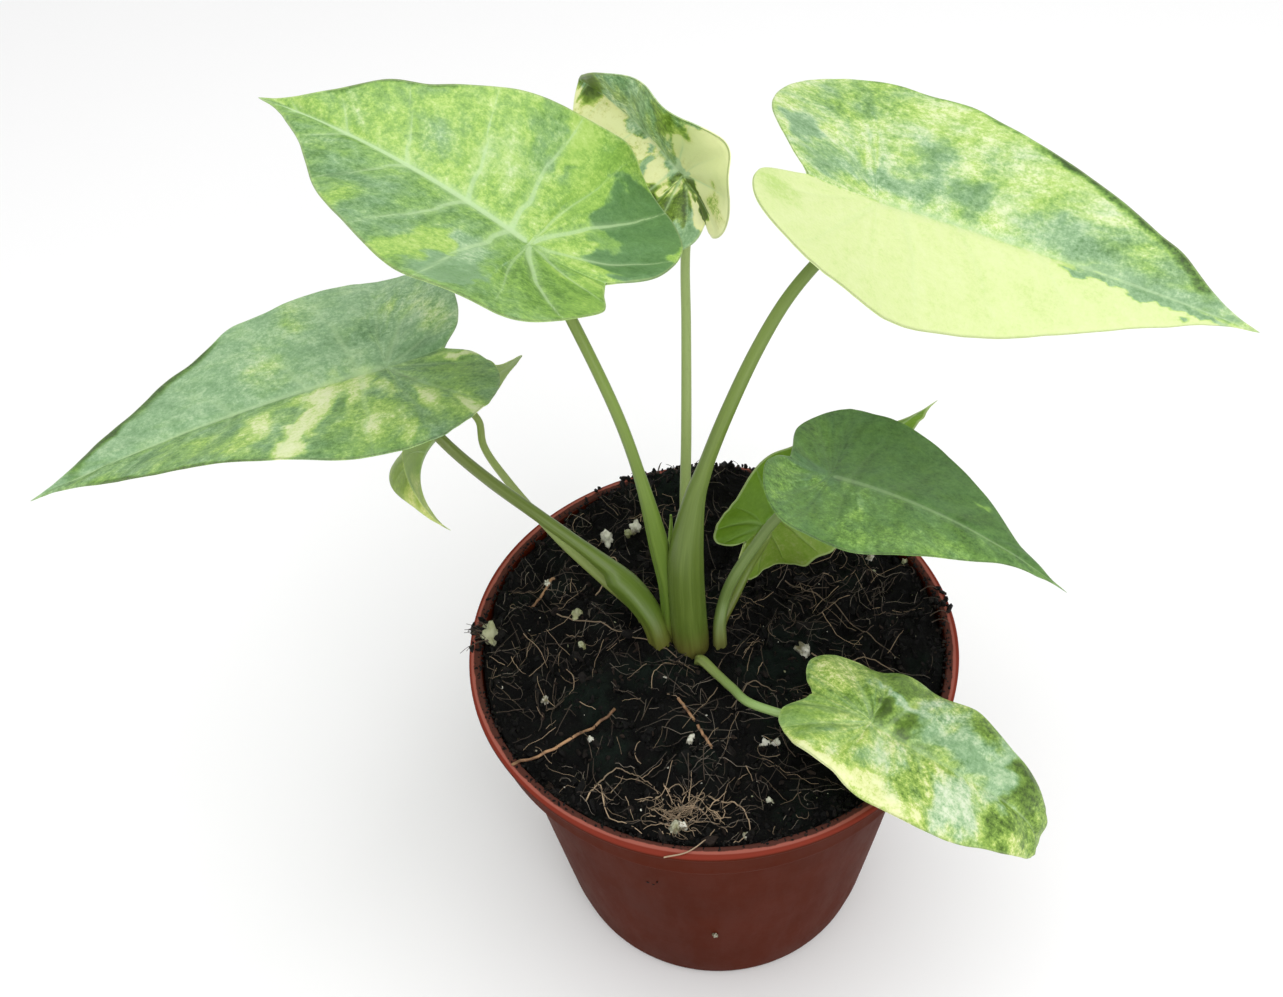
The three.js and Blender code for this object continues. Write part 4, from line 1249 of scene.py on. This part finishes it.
def drain_cutters():
    """One mesh of round cutters for the drain holes."""
    points, faces = [], []
    for i in range(DRAIN_COUNT):
        angle = 2 * math.pi * (i + 0.5) / DRAIN_COUNT
        ring, sides = lathe([(DRAIN_RADIUS, -2), (DRAIN_RADIUS, FLOOR + 2)], DRAIN_SIDES)
        faces += [[corner + i * len(ring) for corner in face] for face in sides]
        points.append(ring + [DRAIN_CIRCLE * math.cos(angle), DRAIN_CIRCLE * math.sin(angle), 0])
    mesh = bpy.data.meshes.new("drain_cutters")
    mesh.from_pydata((np.vstack(points) * MM).tolist(), [], faces)
    cutters = bpy.data.objects.new("drain_cutters", mesh)
    bpy.context.scene.collection.objects.link(cutters)
    return cutters


def make_pot():
    """The pot, slightly out of round towards its rim, with its drain holes cut."""
    points, faces = lathe(pot_profile(), POT_SIDES)
    angle = np.arctan2(points[:, 1], points[:, 0])
    high = smoothstep(20, RIM, points[:, 2])[:, None]
    wobble = 0.18 * np.sin(3 * angle + 0.6) + 0.1 * np.sin(7 * angle + 2)
    points[:, :2] *= 1 + (high * wobble[:, None]) / RIM_RADIUS - 0.2 / RIM_RADIUS * high
    pot = add_mesh("nursery_pot", points, faces, [pot_material()])
    cutters = drain_cutters()
    cut = pot.modifiers.new("drains", "BOOLEAN")
    cut.operation = "DIFFERENCE"
    cut.solver = "EXACT"
    cut.object = cutters
    finished = bpy.data.meshes.new_from_object(pot.evaluated_get(bpy.context.evaluated_depsgraph_get()))
    pot.modifiers.clear()
    pot.data = finished
    finished.name = "nursery_pot"
    bpy.data.objects.remove(cutters)
    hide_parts("pot")


# Soil


def soil_height(x, y):
    """Height of the soil before its crumbs: mounded at the stalks, heaped up at the back, with clods."""
    clods = np.sin(x * 0.31 + 1.3) * np.cos(y * 0.27) + 0.7 * np.sin(x * 0.53 - y * 0.41)
    mound, heap = (
        height * np.exp(-((x - hill_x) ** 2 + (steep * (y - hill_y)) ** 2) / radius**2)
        for height, radius, hill_x, hill_y, steep in HILLS
    )
    return RIM - SOIL_DROP + mound + heap + CLOD_HEIGHT * clods


def lump(x, y, fineness, layer, height, fold):
    """Height of one kind of lump; ridged ones are folded over at a level."""
    level = noise.noise((x * fineness, y * fineness, layer))
    return height * (level if fold is None else fold - abs(level))


def rough_height(x, y):
    """Height of the soil with its lumps, rising to the lip at the wall."""
    lumps = sum(lump(x, y, *kind) for kind in LUMPS)
    rise = WALL_RISE * float(smoothstep(46, 55, math.hypot(x, y)))
    return float(soil_height(x, y)) + LUMP_SHARE * lumps - LUMP_DROP + rise


def soil_walls():
    """Radius and height of the soil's rings against the pot, from the rim down to the floor."""
    return [
        (SOIL_RADIUS - 0.2, STEP_HEIGHT + 1.2),
        (STEP_RADIUS - WALL - 0.5, STEP_HEIGHT - 1.5),
        *[(body_radius(z) - WALL - 0.3, z) for z in (60, 35, 12)],
        (BASE_RADIUS - WALL - 0.6, FLOOR + 3),
        (BASE_RADIUS - WALL - 3, FLOOR + 0.3),
        (2, FLOOR + 0.3),
    ]


def make_soil():
    around = [2 * math.pi * k / SOIL_SIDES for k in range(SOIL_SIDES)]
    points = []
    for i in range(1, SOIL_RINGS + 1):
        radius = SOIL_RADIUS * (i / SOIL_RINGS) ** 0.8
        for angle in around:
            x, y = radius * math.cos(angle), radius * math.sin(angle)
            points.append((x, y, rough_height(x, y)))
    walls = soil_walls()
    for radius, z in walls:
        points += [(radius * math.cos(angle), radius * math.sin(angle), z) for angle in around]
    total = SOIL_RINGS + len(walls)
    top, floor = end_caps(total, SOIL_SIDES)
    faces = grid_quads(ring_ids(total, SOIL_SIDES)).tolist() + [top, floor[::-1]]
    soil = add_mesh("potting_mix", points, faces, [soil_material()])
    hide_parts("soil")


# Litter


def lump_shape(fineness):
    shape = bmesh.new()
    bmesh.ops.create_icosphere(shape, subdivisions=fineness, radius=1)
    shape.verts.index_update()
    points = np.array([vertex.co[:] for vertex in shape.verts])
    faces = [[vertex.index for vertex in face.verts] for face in shape.faces]
    shape.free()
    return points, faces


def random_turn(chance):
    angles = [chance.uniform(0, 2 * math.pi) for _ in range(3)]
    about_x, about_y, about_z = (Matrix.Rotation(angle, 3, axis) for angle, axis in zip(angles, "XYZ"))
    return np.array(about_x @ about_y @ about_z)


def make_lumps(name, places, material, fineness, roughness, seed, smooth=False):
    """Lumps of given (x, y, z, sizes) joined in one piece, each knobbly in its own way."""
    chance = random.Random(seed)
    base, faces = lump_shape(fineness)
    parts = []
    for x, y, z, sizes in places:
        offset = chance.uniform(0, 100)
        knobs = np.array([1 + roughness * noise.noise((p * 1.7 + offset).tolist()) for p in base])
        points = (base * knobs[:, None] * sizes) @ random_turn(chance).T + (x, y, z)
        parts.append((points, faces, chance.random()))
    add_joined(name, parts, material, smooth)


def crumb_places(count, small, large, seed, inner=0.0):
    chance = random.Random(seed)
    places = []
    for _ in range(count):
        radius = (SOIL_RADIUS + 0.3) * math.sqrt(inner + (1 - inner) * chance.random())
        angle = chance.uniform(0, 2 * math.pi)
        x, y = radius * math.cos(angle), radius * math.sin(angle)
        size = small + (large - small) * chance.random() ** 3
        sizes = np.array([size * chance.uniform(0.9, 2.2), size, size * chance.uniform(0.3, 0.8)])
        places.append((x, y, rough_height(x, y) + 0.15 * size, sizes))
    return places


def tube(path, radii, sides):
    """Points and faces of a tube along a path."""
    path = np.asarray(path, float)
    tangents = np.gradient(path, axis=0)
    tangents /= np.maximum(np.linalg.norm(tangents, axis=1, keepdims=True), 1e-9)
    across = np.cross(tangents, [0.12, 0.31, 0.94])
    across /= np.maximum(np.linalg.norm(across, axis=1, keepdims=True), 1e-9)
    upward = np.cross(across, tangents)
    angle = np.linspace(0, 2 * np.pi, sides, endpoint=False)
    ring = across[:, None] * np.cos(angle)[None, :, None] + upward[:, None] * np.sin(angle)[None, :, None]
    points = (path[:, None] + ring * np.asarray(radii)[:, None, None]).reshape(-1, 3)
    start, end = end_caps(len(path), sides)
    return points, grid_quads(ring_ids(len(path), sides)).tolist() + [start[::-1], end]


def make_tubes(name, paths, material, sides=4):
    """Tubes along (points, radii) paths joined in one piece."""
    parts = []
    for number, (path, radii) in enumerate(paths):
        parts.append((*tube(path, radii, sides), (number * 0.618) % 1))
    add_joined(name, parts, material)


def lay_on_soil(flat_points, lift, count):
    """A line over the soil through (x, y) points, a little above it."""
    line = centripetal_curve([(x, y, 0) for x, y in flat_points], count)
    for point in line:
        point[2] = rough_height(point[0], point[1]) + lift
        if math.hypot(point[0], point[1]) > SOIL_RADIUS:
            point[2] = max(point[2], RIM + 0.15)
    return line


def random_fibre(chance, x, y, longest, thickest):
    """A thin bent fibre that lies on the soil, with one end lifted."""
    steps = chance.randint(6, 10)
    length = longest * (0.25 + 0.75 * chance.random() ** 2)
    heading = chance.uniform(0, 2 * math.pi)
    curl = chance.choice(FIBRE_CURLS)
    turn = chance.gauss(0, 12 * curl) / steps
    height = chance.uniform(0.3, 1.4)
    slope = chance.uniform(-0.3, 0.5) / steps
    path = []
    for _ in range(steps):
        inside = min(1, (SOIL_RADIUS - 0.8) / max(1e-6, math.hypot(x, y)))
        px, py = x * inside, y * inside
        path.append((px, py, rough_height(px, py) + height))
        x += length / steps * math.cos(heading)
        y += length / steps * math.sin(heading)
        heading += turn
        turn += chance.gauss(0, curl)
        height = max(0.05, height + slope + chance.gauss(0, 0.12))
    radius = thickest * chance.uniform(0.4, 1)
    taper = np.linspace(1, 0.5, steps)
    return np.array(path), radius * taper


def fibre_paths(count, longest, thickest, seed):
    chance = random.Random(seed)
    paths = []
    while len(paths) < count:
        radius = (SOIL_RADIUS - 2) * math.sqrt(chance.random())
        angle = chance.uniform(0, 2 * math.pi)
        x, y = radius * math.cos(angle), radius * math.sin(angle)
        crowded = noise.noise((x * 0.09, y * 0.09, seed * 1.7)) + 0.5 * chance.random()
        if crowded > 0.2:
            paths.append(random_fibre(chance, x, y, longest, thickest))
    return paths


def clump_paths(count, longest, thickest, seed):
    chance = random.Random(seed)
    paths = []
    for _ in range(count):
        x = CLUMP[0] + chance.gauss(0, CLUMP_RADIUS * 0.45)
        y = CLUMP[1] + chance.gauss(0, CLUMP_RADIUS * 0.35)
        paths.append(random_fibre(chance, x, y, longest, thickest))
    return paths


def spilled_places(count, seed):
    """Crumbs that lie on the lip where the soil is heaped up at the back, and at two spots of the sides."""
    chance = random.Random(seed)
    places = []
    for _ in range(count):
        middle, spread = chance.choice(SPILLS)
        angle = math.radians(chance.gauss(middle, spread))
        radius = chance.uniform(SOIL_RADIUS - 0.5, RIM_RADIUS - 0.3)
        size = chance.uniform(0.3, 0.9)
        sizes = np.array([size * 1.5, size, size * 0.7])
        places.append((radius * math.cos(angle), radius * math.sin(angle), RIM + 0.3 * size, sizes))
    return places


def lip_places(count, seed):
    """Fine crumbs along the inner edge of the lip."""
    chance = random.Random(seed)
    places = []
    for _ in range(count):
        angle = chance.uniform(0, 2 * math.pi)
        radius = RIM_RADIUS - 1.7 - 2.2 * chance.random() ** 0.6
        size = chance.uniform(0.12, 0.4)
        sizes = np.array([size * 1.4, size, size * 0.7])
        places.append((radius * math.cos(angle), radius * math.sin(angle), RIM - 0.05, sizes))
    return places


def rim_fibre(chance, middle, spread):
    """A fibre that starts in the soil and sticks out over the lip."""
    angle = math.radians(chance.gauss(middle, spread))
    outward = np.array([math.cos(angle), math.sin(angle), 0])
    along = np.array([-math.sin(angle), math.cos(angle), 0]) * chance.uniform(-1, 1)
    start = outward * (SOIL_RADIUS - 1.5) + [0, 0, RIM - 0.8]
    reach = chance.uniform(3, 7)
    steps = np.linspace(0, 1, 8)[:, None]
    path = start + outward * reach * steps + along * reach * steps
    path[:, 2] += 3.2 * np.sin(steps[:, 0] * 2.4) * chance.uniform(0.5, 1)
    return path, np.linspace(0.14, 0.07, 8)


def rim_paths(count, seed):
    """Fibres that stick out over the lip, at the back and at both sides."""
    chance = random.Random(seed)
    return [rim_fibre(chance, *chance.choice(SPILLS[CRUMB_SPILLS:])) for _ in range(count)]


def make_crumbs():
    material = crumb_material()
    coarse = crumb_places(*COARSE_CRUMBS)
    coarse += [(x, y, z, np.array([1.3, 0.7, 0.6]) * size) for x, y, z, size in WALL_CRUMBS]
    fine = crumb_places(*FINE_CRUMBS) + crumb_places(*EDGE_CRUMBS)
    fine += spilled_places(*SPILLED_CRUMBS) + lip_places(*LIP_CRUMBS)
    make_lumps("crumbs_coarse", coarse, material, *COARSE_SHAPE)
    make_lumps("crumbs_fine", fine, material, *FINE_SHAPE)


def make_perlite():
    grains = []
    for x, y, size in PERLITE_PLACES:
        grains.append((x, y, rough_height(x, y) + 0.35 * size, np.array([1.15, 1, 0.8]) * size))
    grains.append((*WALL_GRAIN[:3], np.array([0.6, 0.6, 1]) * WALL_GRAIN[3]))
    grains += [(x, y, z, sizes * 0.6) for x, y, z, sizes in crumb_places(*PERLITE_DUST)]
    make_lumps("perlite", grains, perlite_material(), *PERLITE_SHAPE, smooth=True)


def make_fibres():
    dark = fibre_paths(*DARK_FIBRES) + rim_paths(*RIM_FIBRES)
    tan = fibre_paths(*TAN_FIBRES) + clump_paths(*CLUMP_FIBRES)
    tan_material = fibre_material("fibre_tan", TAN_FIBRE)
    make_tubes("fibres_dark", dark, fibre_material("fibre_dark", DARK_FIBRE))
    make_tubes("fibres_grey", fibre_paths(*GREY_FIBRES), fibre_material("fibre_grey", GREY_FIBRE))
    make_tubes("fibres_tan", tan, tan_material)
    roots = []
    for flat in ROOTS:
        line = lay_on_soil(flat, LITTER_LIFT, ROOT_RINGS)
        line[:, 2] += ROOT_ARCH * np.sin(np.linspace(0, math.pi, ROOT_RINGS))
        roots.append((line, np.linspace(*ROOT_RADII, ROOT_RINGS)))
    make_tubes("roots", roots, tan_material, 8)
    radii = np.full(TWIG_RINGS, TWIG_RADIUS)
    twigs = [(lay_on_soil(flat, LITTER_LIFT, TWIG_RINGS), radii) for flat in TWIGS]
    make_tubes("twigs", twigs, bark_material(), 8)


# Materials


class Nodes:
    """Short calls that build one material's nodes."""

    def __init__(self, name):
        self.material = bpy.data.materials.new(name)
        self.material.use_nodes = True
        self.tree = self.material.node_tree
        self.tree.nodes.clear()
        self.output = self.tree.nodes.new("ShaderNodeOutputMaterial")

    def node(self, kind, inputs=None, **settings):
        made = self.tree.nodes.new(kind)
        for key, value in settings.items():
            setattr(made, key, value)
        for key, value in (inputs or {}).items():
            self.put(made.inputs[key], value)
        return made

    def put(self, socket, value):
        if isinstance(value, bpy.types.NodeSocket):
            self.tree.links.new(value, socket)
        elif socket.type == "RGBA":
            socket.default_value = (*value, 1)
        else:
            socket.default_value = value

    def number(self, name):
        return self.node("ShaderNodeAttribute", attribute_name=name).outputs["Fac"]

    def vector(self, name):
        return self.node("ShaderNodeAttribute", attribute_name=name).outputs["Vector"]

    def place(self):
        return self.node("ShaderNodeTexCoord").outputs["Object"]

    def math(self, operation, a, b=0.0, c=0.0):
        return self.node("ShaderNodeMath", {0: a, 1: b, 2: c}, operation=operation).outputs[0]

    def times(self, a, b):
        return self.math("MULTIPLY", a, b)

    def times_plus(self, a, b, c):
        return self.math("MULTIPLY_ADD", a, b, c)

    def swing(self, value):
        """A noise moved down to lie round zero."""
        return self.math("SUBTRACT", value, 0.5)

    def scaled(self, vector, scale):
        return self.node("ShaderNodeVectorMath", {0: vector, 1: scale}, operation="MULTIPLY").outputs[0]

    def noise(self, vector, scale, detail=3, roughness=0.6):
        inputs = {"Vector": vector, "Scale": scale, "Detail": detail, "Roughness": roughness}
        return self.node("ShaderNodeTexNoise", inputs).outputs["Fac"]

    def cells(self, vector, scale):
        inputs = {"Vector": vector, "Scale": scale}
        made = self.node("ShaderNodeTexVoronoi", inputs, feature="DISTANCE_TO_EDGE")
        return made.outputs["Distance"]

    def band(self, value, low, high, start=0.0, end=1.0):
        """Smooth change from start to end as the value goes from low to high."""
        inputs = {"Value": value, "From Min": low, "From Max": high, "To Min": start, "To Max": end}
        return self.node("ShaderNodeMapRange", inputs, interpolation_type="SMOOTHSTEP").outputs[0]

    def ramp(self, value, stops):
        made = self.node("ShaderNodeValToRGB", {0: value})
        elements = made.color_ramp.elements
        while len(elements) < len(stops):
            elements.new(1)
        for element, (position, colour) in zip(elements, stops):
            element.position = position
            element.color = (*colour, 1)
        return made.outputs[0]

    def rough(self, grain, low, high):
        """Roughness that follows a noise."""
        return self.band(grain, 0.3, 0.7, low, high)

    def mix(self, factor, a, b):
        return self.node("ShaderNodeMix", {0: factor, 6: a, 7: b}, data_type="RGBA").outputs[2]

    def tint(self, colour, towards, share, *shares):
        """The colour moved towards another by the product of the shares."""
        for other in shares:
            share = self.times(share, other)
        return self.mix(share, colour, towards)

    def bump(self, height, strength, distance, normal=None):
        inputs = {"Height": height, "Strength": strength, "Distance": distance}
        if normal is not None:
            inputs["Normal"] = normal
        return self.node("ShaderNodeBump", inputs).outputs[0]

    def finish(self, colour, roughness, normal=None, **uniform):
        inputs = {"Base Color": colour, "Roughness": roughness}
        if normal is not None:
            inputs["Normal"] = normal
        shader = self.node("ShaderNodeBsdfPrincipled", inputs)
        for key, value in uniform.items():
            shader.inputs[key.replace("_", " ")].default_value = value
        return shader.outputs[0]

    def through(self, surface, colour, share):
        """The surface with some light let through."""
        glow = self.node("ShaderNodeBsdfTranslucent", {"Color": colour}).outputs[0]
        return self.node("ShaderNodeMixShader", {0: share, 1: surface, 2: glow}).outputs[0]

    def surface(self, shader):
        self.tree.links.new(shader, self.output.inputs["Surface"])
        return self.material


def tissue_nodes(n):
    """Colour of a blade's tissue with its flecks, where the bluish grey-green is partly painted sheen, and
    the flecks' own noise.
    """
    grain, flat = n.vector("grain"), n.vector("flat")
    mottle = n.number("mottle")
    streaks = n.noise(n.scaled(grain, (0.1, 0.32, 1)), 1, 5, 0.68)
    flecks = n.noise(n.scaled(flat, (0.5, 0.5, 1)), 1, 5, 0.75)
    fine = n.noise(n.scaled(flat, (1.3, 1.3, 1)), 1, 4, 0.72)
    speckle = n.times_plus(n.swing(streaks), STREAK_SWING, n.times(n.swing(flecks), FLECK_SWING))
    speckle = n.times_plus(n.swing(fine), FINE_SWING, speckle)
    pale = n.times_plus(speckle, mottle, n.number("pale"))
    other = n.noise(n.scaled(grain, (0.13, 0.24, 1)), 1.3, 4, 0.6)
    grey = n.times_plus(n.swing(other), n.times(mottle, GREY_SWING), n.number("grey"))
    warm = n.mix(n.number("olive"), n.ramp(pale, WARM_TISSUE), n.ramp(pale, OLIVE_TISSUE))
    # The grey mix is partly painted sheen
    colour = n.mix(n.band(grey, 0.15, 0.85), warm, n.ramp(pale, COOL_TISSUE_AND_SHEEN))
    return colour, flecks


def line_mask(n, line, reach):
    """One on a vein or midrib, whose distance and width in mm are attributes, fading out by some widths."""
    widths = n.math("DIVIDE", n.number(f"from_{line}"), n.math("MAXIMUM", n.number(f"{line}_width"), 0.02))
    return n.band(widths, 0.35, reach, 1.0, 0.0)


def pale_margin(n, colour, inner):
    edge = n.band(n.number("to_margin"), inner, 0.6, 1.0, 0.0)
    return n.tint(colour, MARGIN_PALE, edge, n.number("margin_pale"))


@cache
def blade_upper_material(let_through):
    n = Nodes("blade_upper")
    colour, flecks = tissue_nodes(n)
    veins = line_mask(n, "vein", 1.1)
    vein_pale, midrib_pale = n.number("vein_pale"), n.number("midrib_pale")
    colour = n.tint(colour, VEIN_PALE, line_mask(n, "vein", 3.4), 0.35, vein_pale)
    colour = n.tint(colour, VEIN_PALE, veins, vein_pale)
    colour = n.tint(colour, VEIN_PALE, line_mask(n, "midrib", 2.2), 0.5, midrib_pale)
    colour = n.tint(colour, VEIN_PALE, line_mask(n, "midrib", 0.9), midrib_pale)
    colour = pale_margin(n, colour, 0.15)
    net = n.cells(n.scaled(n.vector("flat"), (0.75, 0.75, 1)), 1)
    pores = n.noise(n.vector("flat"), 6, 2, 0.5)
    normal = n.bump(n.band(net, 0.0, 0.25), 0.12, 0.0002)
    normal = n.bump(veins, -0.35, 0.0003, normal)
    normal = n.bump(pores, 0.1, 0.00008, normal)
    surface = n.finish(colour, n.rough(flecks, 0.36, 0.5), normal, Specular_IOR_Level=0.5)
    return n.surface(n.through(surface, colour, let_through))


@cache
def blade_under_material(bright, let_through):
    n = Nodes("blade_under_bright" if bright else "blade_under")
    colour, flecks = tissue_nodes(n)
    tint, share = BRIGHT_UNDERSIDE if bright else UNDERSIDE
    colour = n.mix(share, colour, tint)
    veins = line_mask(n, "vein", 1.6)
    colour = n.tint(colour, VEIN_PALE, veins, n.number("vein_pale"))
    colour = n.tint(colour, VEIN_PALE, line_mask(n, "midrib", 1.2), n.number("midrib_pale"))
    colour = pale_margin(n, colour, 0.2)
    net = n.cells(n.scaled(n.vector("flat"), (0.8, 0.8, 1)), 1)
    normal = n.bump(n.band(net, 0.0, 0.2), -0.2, 0.0002)
    normal = n.bump(veins, 0.5, 0.0004, normal)
    surface = n.finish(colour, n.rough(flecks, 0.5, 0.62), normal, Specular_IOR_Level=0.4)
    return n.surface(n.through(surface, colour, let_through))


def stalk_material(name):
    n = Nodes(f"stalk_{name}")
    grain = n.vector("grain")
    streaks = n.noise(n.scaled(grain, (1.2, 1.2, 0.35)), 1, 4, 0.6)
    specks = n.noise(n.scaled(grain, (2.2, 2.2, 6)), 1.4, 2, 0.6)
    colour = n.mix(n.band(n.number("place"), 0.1, 0.9), *STALK_COLOURS[name])
    colour = n.tint(colour, STALK_STREAK, n.band(streaks, 0.42, 0.7, 0, 0.22))
    colour = n.tint(colour, STALK_SPECK, n.band(specks, 0.6, 0.7, 0, 0.35))
    colour = n.tint(colour, STALK_GROOVE, n.number("groove"), 0.12)
    colour = n.tint(colour, STALK_FOOT, n.band(n.number("above_soil"), 1, 12, 0.4, 0.0))
    normal = n.bump(streaks, 0.15, 0.0002)
    surface = n.finish(colour, n.rough(specks, 0.34, 0.46), normal, Specular_IOR_Level=0.5)
    return n.surface(n.through(surface, colour, 0.06))


def lip_colour(n, colour, place, dust):
    """The lip's top tinted lighter red as painted light from above, with a paler painted highlight line near
    its inner edge, and dirty with soil right at its inner edge.
    """
    x, y, height = n.node("ShaderNodeSeparateXYZ", {0: place}).outputs
    out = n.math("SQRT", n.times_plus(x, x, n.times(y, y)))
    # Painted light: the top band of the lip is lighter red, then a paler painted highlight line near the
    # inner edge
    lip = n.band(height, (RIM - 1.1) * MM, (RIM - 0.3) * MM, 0, 0.9)
    edge_highlight = n.band(out, (RIM_RADIUS - 1.2) * MM, (RIM_RADIUS - 0.8) * MM, 0.8, 0)
    soiled = n.times_plus(dust, 1.5 * MM, out)
    dirty = n.band(soiled, (RIM_RADIUS - 1.15) * MM, (RIM_RADIUS - 0.8) * MM, 0.9, 0)
    colour = n.tint(colour, LIP_TOP_PAINTED_LIGHT, lip)
    colour = n.tint(colour, LIP_EDGE_PAINTED_HIGHLIGHT, lip, edge_highlight)
    return n.tint(colour, LIP_DIRT, lip, dirty)


def pot_material():
    n = Nodes("terracotta_plastic")
    place = n.place()
    cloud = n.noise(place, 22, 4, 0.6)
    fine = n.noise(place, 900, 3, 0.6)
    flow = n.noise(n.scaled(place, (60, 60, 700)), 1, 3, 0.6)
    dust = n.noise(n.scaled(place, (90, 90, 30)), 1, 6, 0.75)
    colour = n.mix(n.band(cloud, 0.3, 0.7), POT_DARK, POT_LIGHT)
    colour = n.tint(colour, POT_DUST, n.band(dust, 0.6, 0.75, 0, 0.1))
    # Painted light on the lip's top, and real soil dirt at its inner edge
    colour = lip_colour(n, colour, place, dust)
    normal = n.bump(fine, 0.1, 0.0001, n.bump(flow, 0.12, 0.0002))
    roughness = n.band(dust, 0.35, 0.7, 0.5, 0.62)
    return n.surface(n.finish(colour, roughness, normal, Specular_IOR_Level=0.25, IOR=1.14))


def soil_material():
    n = Nodes("potting_mix")
    place = n.place()
    grain = n.noise(place, 700, 6, 0.75)
    patch = n.noise(place, 120, 4, 0.6)
    moss = n.noise(place, 60, 3, 0.6)
    colour = n.mix(n.band(patch, 0.35, 0.7), SOIL_BLACK, SOIL_GREY)
    colour = n.tint(colour, SOIL_BROWN, n.band(grain, 0.58, 0.75))
    colour = n.tint(colour, SOIL_MOSS, n.band(moss, 0.5, 0.66, 0, 0.8))
    normal = n.bump(grain, 0.9, 0.0011)
    return n.surface(n.finish(colour, n.rough(grain, 0.62, 0.95), normal, Specular_IOR_Level=0.14))


def crumb_material():
    n = Nodes("crumbs")
    grain = n.noise(n.place(), 900, 5, 0.75)
    colour = n.tint(n.ramp(n.number("tone"), CRUMB_TONES), SOIL_BROWN, n.band(grain, 0.55, 0.75, 0, 0.4))
    normal = n.bump(grain, 0.8, 0.0006)
    return n.surface(n.finish(colour, n.rough(grain, 0.5, 0.9), normal, Specular_IOR_Level=0.2))


def fibre_material(name, colour):
    n = Nodes(name)
    grain = n.noise(n.place(), 500, 4, 0.6)
    pale = tuple(c * 1.9 for c in colour)
    dark = tuple(c * 0.3 for c in colour)
    tone = n.mix(n.number("tone"), dark, pale)
    tone = n.tint(tone, colour, n.band(grain, 0.3, 0.7, 0, 0.5))
    return n.surface(n.finish(tone, n.rough(grain, 0.6, 0.85), n.bump(grain, 0.4, 0.0002)))


def bark_material():
    n = Nodes("twig_bark")
    grain = n.noise(n.scaled(n.place(), (300, 300, 300)), 1, 5, 0.7)
    colour = n.mix(n.band(grain, 0.35, 0.65), BARK_DARK, BARK_LIGHT)
    return n.surface(n.finish(colour, n.rough(grain, 0.6, 0.85), n.bump(grain, 0.5, 0.0003)))


def perlite_material():
    n = Nodes("perlite")
    place = n.place()
    grain = n.noise(place, 900, 5, 0.7)
    dirt = n.noise(place, 260, 4, 0.6)
    colour = n.mix(n.band(dirt, 0.42, 0.68), PERLITE_WHITE, PERLITE_DIRT)
    colour = n.tint(colour, PERLITE_GREEN, n.band(n.number("tone"), 0.45, 0.9, 0, 0.75))
    return n.surface(n.finish(colour, n.rough(grain, 0.75, 0.95), n.bump(grain, 0.8, 0.0006)))


def floor_material():
    n = Nodes("studio_floor")
    cloud = n.noise(n.place(), 3, 3, 0.5)
    return n.surface(n.finish(n.mix(cloud, FLOOR_DARK, FLOOR_LIGHT), 0.85))


# Studio


def make_floor():
    mesh = bpy.data.meshes.new("studio_floor")
    corners = [(x * FLOOR_REACH, y * FLOOR_REACH, 0) for x, y in ((-1, -1), (1, -1), (1, 1), (-1, 1))]
    mesh.from_pydata(corners, [], [(0, 1, 2, 3)])
    mesh.materials.append(floor_material())
    floor = bpy.data.objects.new("studio_floor", mesh)
    bpy.context.scene.collection.objects.link(floor)


def add_area_light(name, place, target, edge, power):
    light = bpy.data.lights.new(name, "AREA")
    light.shape = "RECTANGLE"
    light.size = edge
    light.size_y = edge
    light.energy = power
    lamp = bpy.data.objects.new(name, light)
    lamp.location = place
    lamp.rotation_euler = (Vector(target) - Vector(place)).to_track_quat("-Z", "Y").to_euler()
    bpy.context.scene.collection.objects.link(lamp)


def make_light():
    world = bpy.data.worlds.new("soft_white")
    bpy.context.scene.world = world
    world.use_nodes = True
    backdrop = world.node_tree.nodes["Background"]
    backdrop.inputs["Color"].default_value = (1, 1, 1, 1)
    backdrop.inputs["Strength"].default_value = SKY_LIGHT
    for name, lamp in LAMPS.items():
        add_area_light(name, **lamp)


def make_camera():
    place, target = Vector(CAMERA_PLACE), Vector(CAMERA_TARGET)
    forward = (target - place).normalized()
    right = forward.cross(Vector((0, 0, 1))).normalized()
    up = right.cross(forward)
    roll = math.radians(CAMERA_ROLL)
    x_axis = right * math.cos(roll) + up * math.sin(roll)
    y_axis = up * math.cos(roll) - right * math.sin(roll)
    turn = Matrix((x_axis, y_axis, -forward)).transposed()
    data = bpy.data.cameras.new("camera")
    data.sensor_fit = "HORIZONTAL"
    data.sensor_width = SENSOR_WIDTH
    data.lens = FOCAL_PIXELS / PHOTO_WIDTH * SENSOR_WIDTH
    data.clip_start = 0.01
    camera = bpy.data.objects.new("camera", data)
    camera.matrix_world = Matrix.Translation(place * MM) @ turn.to_4x4()
    bpy.context.scene.collection.objects.link(camera)
    bpy.context.scene.camera = camera


# Assembly


def make_plant():
    for index, (name, own) in enumerate(LEAVES.items()):
        leaf = {**LEAF_DEFAULTS, **own}
        make_blade(name, leaf, index)
        make_stalk(f"stalk_{name}", f"petiole_{name}", leaf, stalk_material(name), *STALK_GRID)
    scale = {**LEAF_DEFAULTS, **SCALE_LEAF}
    make_stalk("sheath_scale", "cataphyll", scale, stalk_material("scale"), *SCALE_GRID)


bpy.context.scene.view_settings.view_transform = "Standard"
make_camera()
make_floor()
make_light()
make_pot()
make_soil()
make_crumbs()
make_perlite()
make_fibres()
make_plant()
